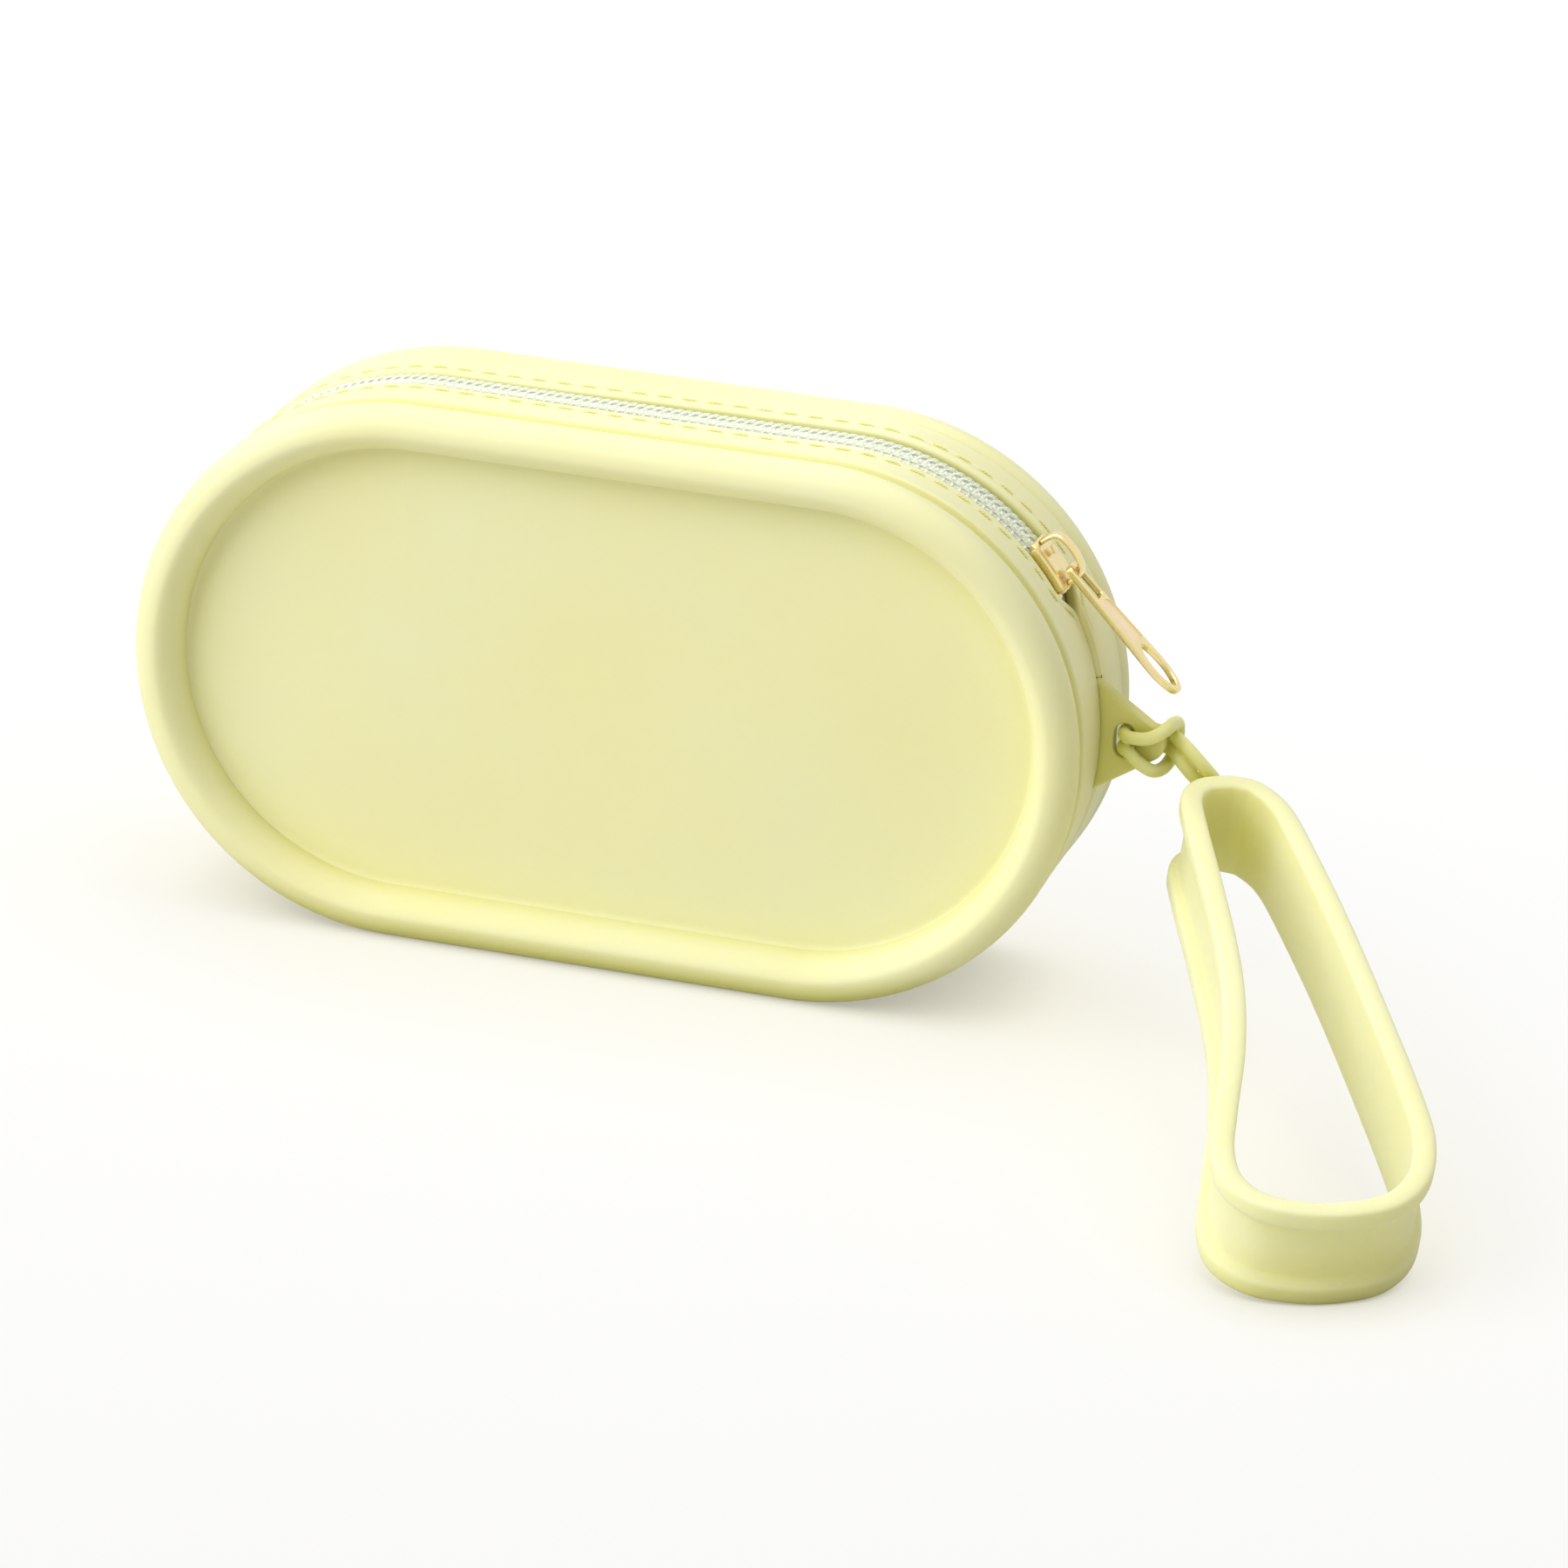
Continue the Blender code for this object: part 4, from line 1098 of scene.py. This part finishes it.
def bridge(mat):
    """Arch with rounded edges. It widens where it meets the slider."""
    bm = bmesh.new()
    arch = []
    half_t = BRIDGE_T / 2
    steps = 30
    for i in range(steps + 1):
        a = math.pi * i / steps
        lift = math.sin(a) ** 0.45 if 0 < i < steps else 0.0
        x = (half_t - BRIDGE_HALF_LEN) * math.cos(a)
        arch.append(Vector((x, 0.0, GAP * 0.15 + (BRIDGE_TOP - half_t + 0.05) * lift)))
    path = smooth_path(arch, 2)
    count = len(path)
    rings = []
    sides = 20
    for i, (centre, tangent) in enumerate(zip(path, directions(path))):
        normal = Vector((-tangent.z, 0.0, tangent.x))
        end_share = min(i, count - 1 - i) / (count / 2)
        half_w = BRIDGE_HALF_W + BRIDGE_FLARE * (1 - blend_share(end_share, 0.0, 0.35))
        ring = []
        for k in range(sides):
            turn = FULL_TURN * k / sides
            y = half_w * signed_power(math.cos(turn), 0.75)
            t = half_t * signed_power(math.sin(turn), 0.85)
            ring.append(bm.verts.new((centre + Vector((0.0, y, 0.0)) + normal * t) * MM))
        rings.append(ring)
    loft(bm, rings, True, False)
    bm.faces.new(rings[0])
    bm.faces.new(rings[-1])
    bmesh.ops.transform(bm, matrix=slider_place(0.0, 0.0), verts=bm.verts)
    return finish_mesh("slider_arch", bm, mat, 60.0)


gold_plate = gold("gold_plate", GOLD_RGB, 0.20, 0.34)
gold_field = gold("gold_field", FIELD_RGB, 0.42, 0.58, 2200.0, 0.3)

slider_piece = slider(gold_plate)
bridge_piece = bridge(gold_plate)
leaf = [(-2.45, 0.55), (-1.9, 0.48), (-1.35, 0.35), (-1.2, 0.35)]
leaf += [(-1.2, 0.75), (-1.35, 0.75), (-1.9, 0.88), (-2.45, 0.95)]
spring = plate("lock_leaf", [leaf], 1.4, 0.08, gold_plate, slider_place(0.0, 0.0) @ side_matrix(), 2)
for piece, node in (
    (slider_piece, "slider_body"), (bridge_piece, "slider_bridge"), (spring, "lock_spring"),
):
    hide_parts(node)
    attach(piece, "slider")

stop_height = COIL_OUT - COIL_IN - 0.1
top_deg = SLIDER_DEG + SLIDER_HALF_DEG - 0.2
for name, node, width, edge, place in (
    ("stop_front", "top_stop_front", STOP_W, 0.32, end_matrix(1, top_deg, COIL_RHO, -2.5)),
    ("stop_back", "top_stop_back", STOP_W, 0.32, end_matrix(1, top_deg, COIL_RHO, 2.5)),
    ("stop_low", "bottom_stop", 5.4, 0.38, end_matrix(-1, COIL_LEFT_DEG + 2.0, COIL_RHO)),
):
    stop = box_piece(name, (STOP_LEN, width, stop_height), edge, gold_plate, place)
    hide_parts(node)
    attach(stop, "bag")


# Pull

PULL_EDGE = [
    (0.35, 2.05), (3.0, 2.15), (6.0, 2.35), (9.0, 2.55), (12.0, 2.7), (15.0, 2.92), (17.5, 3.12), (19.4, 3.2),
]


def pull_width(x):
    """Half width of the pull at a distance from its bar."""
    for (x0, w0), (x1, w1) in zip(PULL_EDGE, PULL_EDGE[1:]):
        if x <= x1:
            return w0 + (w1 - w0) * max(0.0, x - x0) / (x1 - x0)
    return PULL_HALF_W


def pull_edge():
    """Outline of the pull: its ring, its sides and its round tip."""
    points = [(-0.62, 0.55), (-0.58, 0.95), (-0.42, 1.45), (-0.12, 1.82)]
    points += [(p.x, p.y) for p in smooth_path([(x, y, 0.0) for x, y in PULL_EDGE], 3)]
    turn_x = PULL_EDGE[-1][0]
    points += arc(turn_x, 0.0, PULL_LEN - turn_x, PULL_HALF_W, 90, 0, 16)[1:]
    return points + mirrored(points[:-1])


def pull_window():
    """Opening of the ring that goes round the bridge."""
    half_w = BRIDGE_HALF_W + WINDOW_PLAY
    points = []
    for x, y, start, corner in (
        (WINDOW_END, half_w, 90, 0.7), (WINDOW_END, -half_w, 0, 0.7),
        (WINDOW_START, -half_w, -90, 0.4), (WINDOW_START, half_w, -180, 0.4),
    ):
        middle_x = x - math.copysign(corner, x - 3.0)
        middle_y = y - math.copysign(corner, y)
        points += arc(middle_x, middle_y, corner, corner, start, start - 90, 5)
    return points


def slot_edge():
    """Oval hole near the tip, a little pointed at both ends."""
    points = []
    steps = 40
    for i in range(steps):
        a = FULL_TURN * i / steps
        y = SLOT_HALF_W * signed_power(math.sin(a), 1.12)
        points.append((SLOT_MIDDLE + SLOT_HALF_LEN * math.cos(a), y))
    return points


def field_edge():
    """Sunk field between the ring and the slot, with a rim of even width about it."""
    corner_x = FIELD_START + FIELD_CORNER
    points = arc(corner_x, 0.0, FIELD_CORNER, pull_width(corner_x) - FIELD_RIM, 180, 90, 8)
    for i in range(1, 8):
        x = corner_x + (FIELD_END - corner_x) * i / 7
        points.append((x, pull_width(x) - FIELD_RIM))
    for i in range(1, 8):
        y = (pull_width(FIELD_END) - FIELD_RIM) * (1 - i / 7)
        share = y / (SLOT_HALF_W + FIELD_SLOT_RIM)
        reach = (SLOT_HALF_LEN + FIELD_SLOT_RIM) * math.sqrt(max(0.0, 1 - share * share))
        points.append((min(FIELD_END, SLOT_MIDDLE - reach), y))
    return points + mirrored(points[1:-1])


def pull(mat, field_mat):
    axis = slider_place(BAR_ALONG, BAR_HEIGHT).translation
    place = Matrix.Translation(axis) @ Matrix.Rotation(math.radians(PULL_DOWN_DEG), 4, "Y")
    piece = plate("pull_plate", [pull_edge(), pull_window(), slot_edge()], PULL_T, 0.26, mat, place, 4)
    cut_t = 0.9
    for sign in (1, -1):
        height = sign * (PULL_T / 2 + cut_t / 2 - FIELD_DEPTH)
        tool_place = place @ Matrix.Translation((0.0, 0.0, height * MM))
        tool = plate("field_cut", [field_edge()], cut_t, 0.1, field_mat, tool_place, 2)
        piece = combine(piece, tool, "DIFFERENCE")
    return piece, place


pull_piece, pull_place = pull(gold_plate, gold_field)
if len(pull_piece.data.materials) < 2:
    pull_piece.data.materials.append(gold_field)
to_pull = pull_place.inverted()
for face in pull_piece.data.polygons:
    local = to_pull @ face.center
    flat = abs((to_pull.to_3x3() @ face.normal).z) > 0.9
    if flat and abs(local.z) < (PULL_T / 2 - 0.1) * MM:
        face.material_index = 1
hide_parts("pull_tab")
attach(pull_piece, "pull")


# Strap: cord, then band


def band_axes():
    down = Vector(BAND_DOWN).normalized()
    along = Vector(BAND_ALONG)
    along = (along - down * along.dot(down)).normalized()
    return along, down.cross(along), down


def band_middle():
    return Vector(NECK_POINT) + band_axes()[2] * (BAND_WIDTH / 2 - FLANGE_H / 2)


def stem_point(height):
    along, _, down = band_axes()
    web_face = band_middle() + along * (FLANGE_OUT - WEB_OUT)
    return web_face - along * COLLAR_OFFSET - down * height


def stem_turn():
    up = -band_axes()[2]
    return up.to_track_quat("Z", "Y").to_matrix().to_4x4()


CORD_FACE = TAB_T / 2 + CORD_R + GAP
STEM_FOOT = -4.4


def strand(sign):
    """One strand of the cord, from the stem up and through the tab's hole. Places are from the hole."""
    step = sign * CORD_STEP
    points = [
        (12.8 + sign * 1.08, 1.7, -5.6 + sign * 0.5),
        (11.2 + sign * 0.85, 1.0, -3.7 + sign * 0.8),
        (9.6 + sign * 0.6, 0.9, -2.1 + sign * 1.0),
        (8.1 + sign * 0.25, CORD_FACE - 1.1, -1.0 + sign * 1.12),
        (6.3, CORD_FACE + 0.2, -0.4 + step), (3.4, CORD_FACE + 0.05, step), (1.1, CORD_FACE, step),
        (0.0, 1.2, step), (0.0, -1.2, step), (1.1, -CORD_FACE, step),
    ]
    low = stem_point(1.2) + Vector((sign * 0.8, 0.0, 0.0))
    high = stem_point(3.45) + Vector((sign * 1.17, 0.0, sign * 0.05))
    return [low, high] + from_hole(points)


def from_hole(points):
    hole = Vector((HOLE_X, 0.0, TAB_Z))
    return [hole + Vector(point) for point in points]


def cord_path():
    """Both strands, and the bight that goes back round them."""
    bight = [
        (3.6, -CORD_FACE - 0.3, 1.4), (5.4, -CORD_FACE - 0.1, 2.2), (6.5, -1.3, 2.9), (6.8, 1.3, 2.9),
        (7.0, 4.2, 2.1), (7.0, 5.0, -0.3), (6.6, 4.6, -2.9), (6.2, 2.4, -4.05), (5.7, -0.5, -4.1),
        (4.8, -CORD_FACE + 0.1, -3.6), (2.9, -CORD_FACE - 0.35, -2.5),
    ]
    return strand(1) + from_hole(bight) + strand(-1)[::-1]


def hitch(mat):
    """Cord, stem and end ball as one moulding, melted together by a fine remesh."""
    bm = bmesh.new()
    tube(bm, smooth_path(cord_path(), 8), CORD_R, 18)
    tube(bm, [stem_point(STEM_FOOT + 0.5 * i) for i in range(17)], STEM_R, 24)
    place = Matrix.Translation(stem_point(STEM_FOOT) * MM) @ stem_turn()
    bmesh.ops.create_uvsphere(bm, u_segments=32, v_segments=20, radius=STEM_BALL_R * MM, matrix=place)
    piece = finish_mesh("hitch_moulding", bm, mat)
    mod = piece.modifiers.new("melt", "REMESH")
    mod.mode = "VOXEL"
    mod.voxel_size = 0.16 * MM
    mesh = baked_mesh(piece, "hitch_moulding")
    bm = bmesh.new()
    bm.from_mesh(mesh)
    for _ in range(6):
        bmesh.ops.smooth_vert(
            bm, verts=bm.verts, factor=0.5, use_axis_x=True, use_axis_y=True, use_axis_z=True
        )
    bm.to_mesh(mesh)
    bm.free()
    return place_mesh("hitch_moulding", mesh, mat, 180.0)


# Outline of the loop: share of its length, then of its spread
BAND_CONTROL = [
    (0.0, 0.000), (0.012, 0.228), (0.05, 0.381), (0.12, 0.418), (0.25, 0.439), (0.40, 0.476),
    (0.52, 0.545), (0.64, 0.677), (0.77, 0.878), (0.86, 1.000), (0.93, 0.984), (0.98, 0.767),
    (1.0, 0.397), (0.998, 0.026), (0.975, -0.344), (0.92, -0.624), (0.84, -0.772), (0.74, -0.794),
    (0.55, -0.751), (0.35, -0.683), (0.18, -0.593), (0.075, -0.508), (0.02, -0.349), (0.002, -0.169),
]


def band_section():
    """Web with a soft round rim along each edge: outwards, then across."""
    half = BAND_WIDTH / 2
    rim = half - FLANGE_H
    middle = (FLANGE_OUT + BAND_IN) / 2
    reach = (FLANGE_OUT - BAND_IN) / 2
    crest = 0.9
    upper = []
    for i in range(13):
        a = math.radians(90 - 180 * i / 12)
        height = half - crest + crest * signed_power(abs(math.cos(a)), 0.62)
        upper.append((middle + reach * signed_power(math.sin(a), 0.62), height))
    upper.reverse()
    upper += [(FLANGE_OUT, rim + 0.9), (FLANGE_OUT - 0.1, rim + 0.45), (FLANGE_OUT - 0.4, rim + 0.1)]
    upper += [(WEB_OUT + 0.5, rim - 0.18), (WEB_OUT + 0.15, rim - 0.45), (WEB_OUT, rim - 0.95)]
    upper += [(WEB_OUT - 0.02, rim - 2.4), (WEB_OUT - 0.03, 0.6), (WEB_OUT - 0.03, 0.0)]
    inner = [(BAND_IN, height) for height in (2.6 - half, -2.0, 2.0, half - 2.6)]
    return upper + mirrored(upper[:-1]) + inner


def band(mat):
    along, side, down = band_axes()
    flat = [Vector((x * BAND_LENGTH, y * BAND_SPREAD, 0.0)) for x, y in BAND_CONTROL]
    outline = smooth_path(flat, 9, closed=True)
    count = len(outline)
    centre = band_middle()
    section = band_section()
    bm = bmesh.new()
    rings = []
    for i in range(count):
        tangent = (outline[(i + 1) % count] - outline[i - 1]).normalized()
        outward = Vector((-tangent.y, tangent.x, 0.0))
        ring = []
        for q, h in section:
            spot = outline[i] + outward * (q - FLANGE_OUT)
            ring.append(bm.verts.new((centre + along * spot.x + side * spot.y - down * h) * MM))
        rings.append(ring)
    loft(bm, rings, True, True)
    return finish_mesh("band_moulding", bm, mat, 180.0)


def collar(mat):
    """Round boss that holds the stem, with soft edges and its bore."""
    half = COLLAR_LEN / 2
    edge = 0.8
    profile = [(COLLAR_BORE, half - 0.3), (COLLAR_BORE + 0.1, half - 0.08), (COLLAR_BORE + 0.35, half)]
    profile += arc(COLLAR_R - edge, half - edge, edge, edge, 90, 0, 6)
    profile += mirrored(profile)
    bm = bmesh.new()
    rings = []
    sides = 48
    for i in range(sides):
        a = FULL_TURN * i / sides
        rings.append([bm.verts.new(Vector((r * math.cos(a), r * math.sin(a), h)) * MM) for r, h in profile])
    loft(bm, rings, True, True)
    place = Matrix.Translation(stem_point(0.2) * MM) @ stem_turn()
    bmesh.ops.transform(bm, matrix=place, verts=bm.verts)
    return finish_mesh("collar_boss", bm, mat, 60.0)


strap_silicone = silicone("strap_silicone", STRAP_RGB, 0.48, 0.006, 0.55)
cord_silicone = silicone("cord_silicone", CORD_RGB, 0.46, 0.004, 0.40)

hitch_piece = hitch(cord_silicone)
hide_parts("hitch_cord")
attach(hitch_piece, "hitch")

band_piece = combine(band(strap_silicone), collar(strap_silicone), "UNION")
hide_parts("wrist_band")
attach(band_piece, "band")


# Floor, light and background


def add_rays(tree):
    """1 for camera, mirror and see-through rays, 0 for the rays that light things."""
    rays = tree.nodes.new("ShaderNodeLightPath").outputs
    seen = math_node(tree, "ADD", rays["Is Camera Ray"], rays["Is Glossy Ray"], clamp=True)
    return math_node(tree, "ADD", seen, rays["Is Transmission Ray"], clamp=True)


FLOOR_GLOW = 0.69
# Reach of the painted contact shadow under the bag.
CONTACT_SHADOW_REACH = 0.02
PAINTED_BOUNCE_REACH = 0.07


def floor_material():
    """Pale floor. For camera rays most of it is an even white, so that its shadows stay light."""
    mat, tree, shader = new_material("floor_paint")
    place = coordinates(tree)
    tint = ramp(tree, noise_node(tree, place, 3.0, 2.0), 0.3, FLOOR_RGB, 0.7, FLOOR_LIGHTER_RGB)
    feed(shader, {"Base Color": tint, "Roughness": 0.9, "Specular IOR Level": 0.1})
    away = span(tree, axis_of(tree, place, "Y"), 1.01, 1.24, -2.0, -1.2)
    # Painted bounce light: the floor's white turns warm yellow where the bag stands close.
    painted_bounce_share = span(tree, openness(tree, PAINTED_BOUNCE_REACH, 12), 0.0, 1.0, 0.45, 0.97)
    painted_bounce_colour = colour_mix(tree, painted_bounce_share, FLOOR_PAINTED_BOUNCE, WHITE)
    glow = add_node(tree, "Emission", {"Color": painted_bounce_colour, "Strength": away})
    # Painted contact shadow: the even white fades to half its share close under the bag, so the floor shows
    # darker there.
    painted_contact_shadow = span(tree, openness(tree, CONTACT_SHADOW_REACH, 12), FLOOR_GLOW * 0.5, FLOOR_GLOW, 0.1, 0.7)
    level = math_node(tree, "MULTIPLY", add_rays(tree), painted_contact_shadow)
    mix = add_node(tree, "MixShader", {"Fac": level, 1: shader.outputs["BSDF"], 2: glow.outputs["Emission"]})
    feed(tree.nodes["Material Output"], {"Surface": mix.outputs["Shader"]})
    return mat


def make_floor():
    bm = bmesh.new()
    bmesh.ops.create_grid(bm, x_segments=4, y_segments=4, size=4.0)
    floor = finish_mesh("floor", bm, floor_material(), recalc=False)
    floor.location = (0.0, 1.5, -0.00005)


WORLD_LEFT = 0.60
WORLD_RIGHT = 0.34


def make_world():
    """Soft light from all round, stronger from the left, in front of a white background."""
    world = bpy.data.worlds.new("soft_room")
    bpy.context.scene.world = world
    world.use_nodes = True
    tree = world.node_tree
    back = tree.nodes["Background"]
    across = axis_of(tree, coordinates(tree, "Generated"), "X")
    lit = span(tree, across, WORLD_LEFT, WORLD_RIGHT, -1.0, 1.0)
    feed(back, {"Color": WHITE, "Strength": span(tree, add_rays(tree), lit, 1.0, 0.0, 1.0)})


LAMP_AIM = (0.0, 0.0, 0.04)


def area_lamp(name, place, size, watts, rgb):
    data = bpy.data.lights.new(name, "AREA")
    data.shape = "RECTANGLE"
    data.size = size[0]
    data.size_y = size[1]
    data.energy = watts
    data.color = rgb[:3]
    lamp = bpy.data.objects.new(name, data)
    bpy.context.scene.collection.objects.link(lamp)
    lamp.location = place
    direction = Vector(LAMP_AIM) - Vector(place)
    lamp.rotation_euler = direction.to_track_quat("-Z", "Y").to_euler()


make_floor()
make_world()
area_lamp("key_light", (-1.02, -0.86, 0.95), (1.3, 1.3), 17.4, (1.0, 0.995, 0.985, 1.0))
area_lamp("top_light", (0.05, 0.20, 1.50), (1.1, 0.9), 9.0, WHITE)

bpy.context.scene.view_settings.view_transform = "Standard"
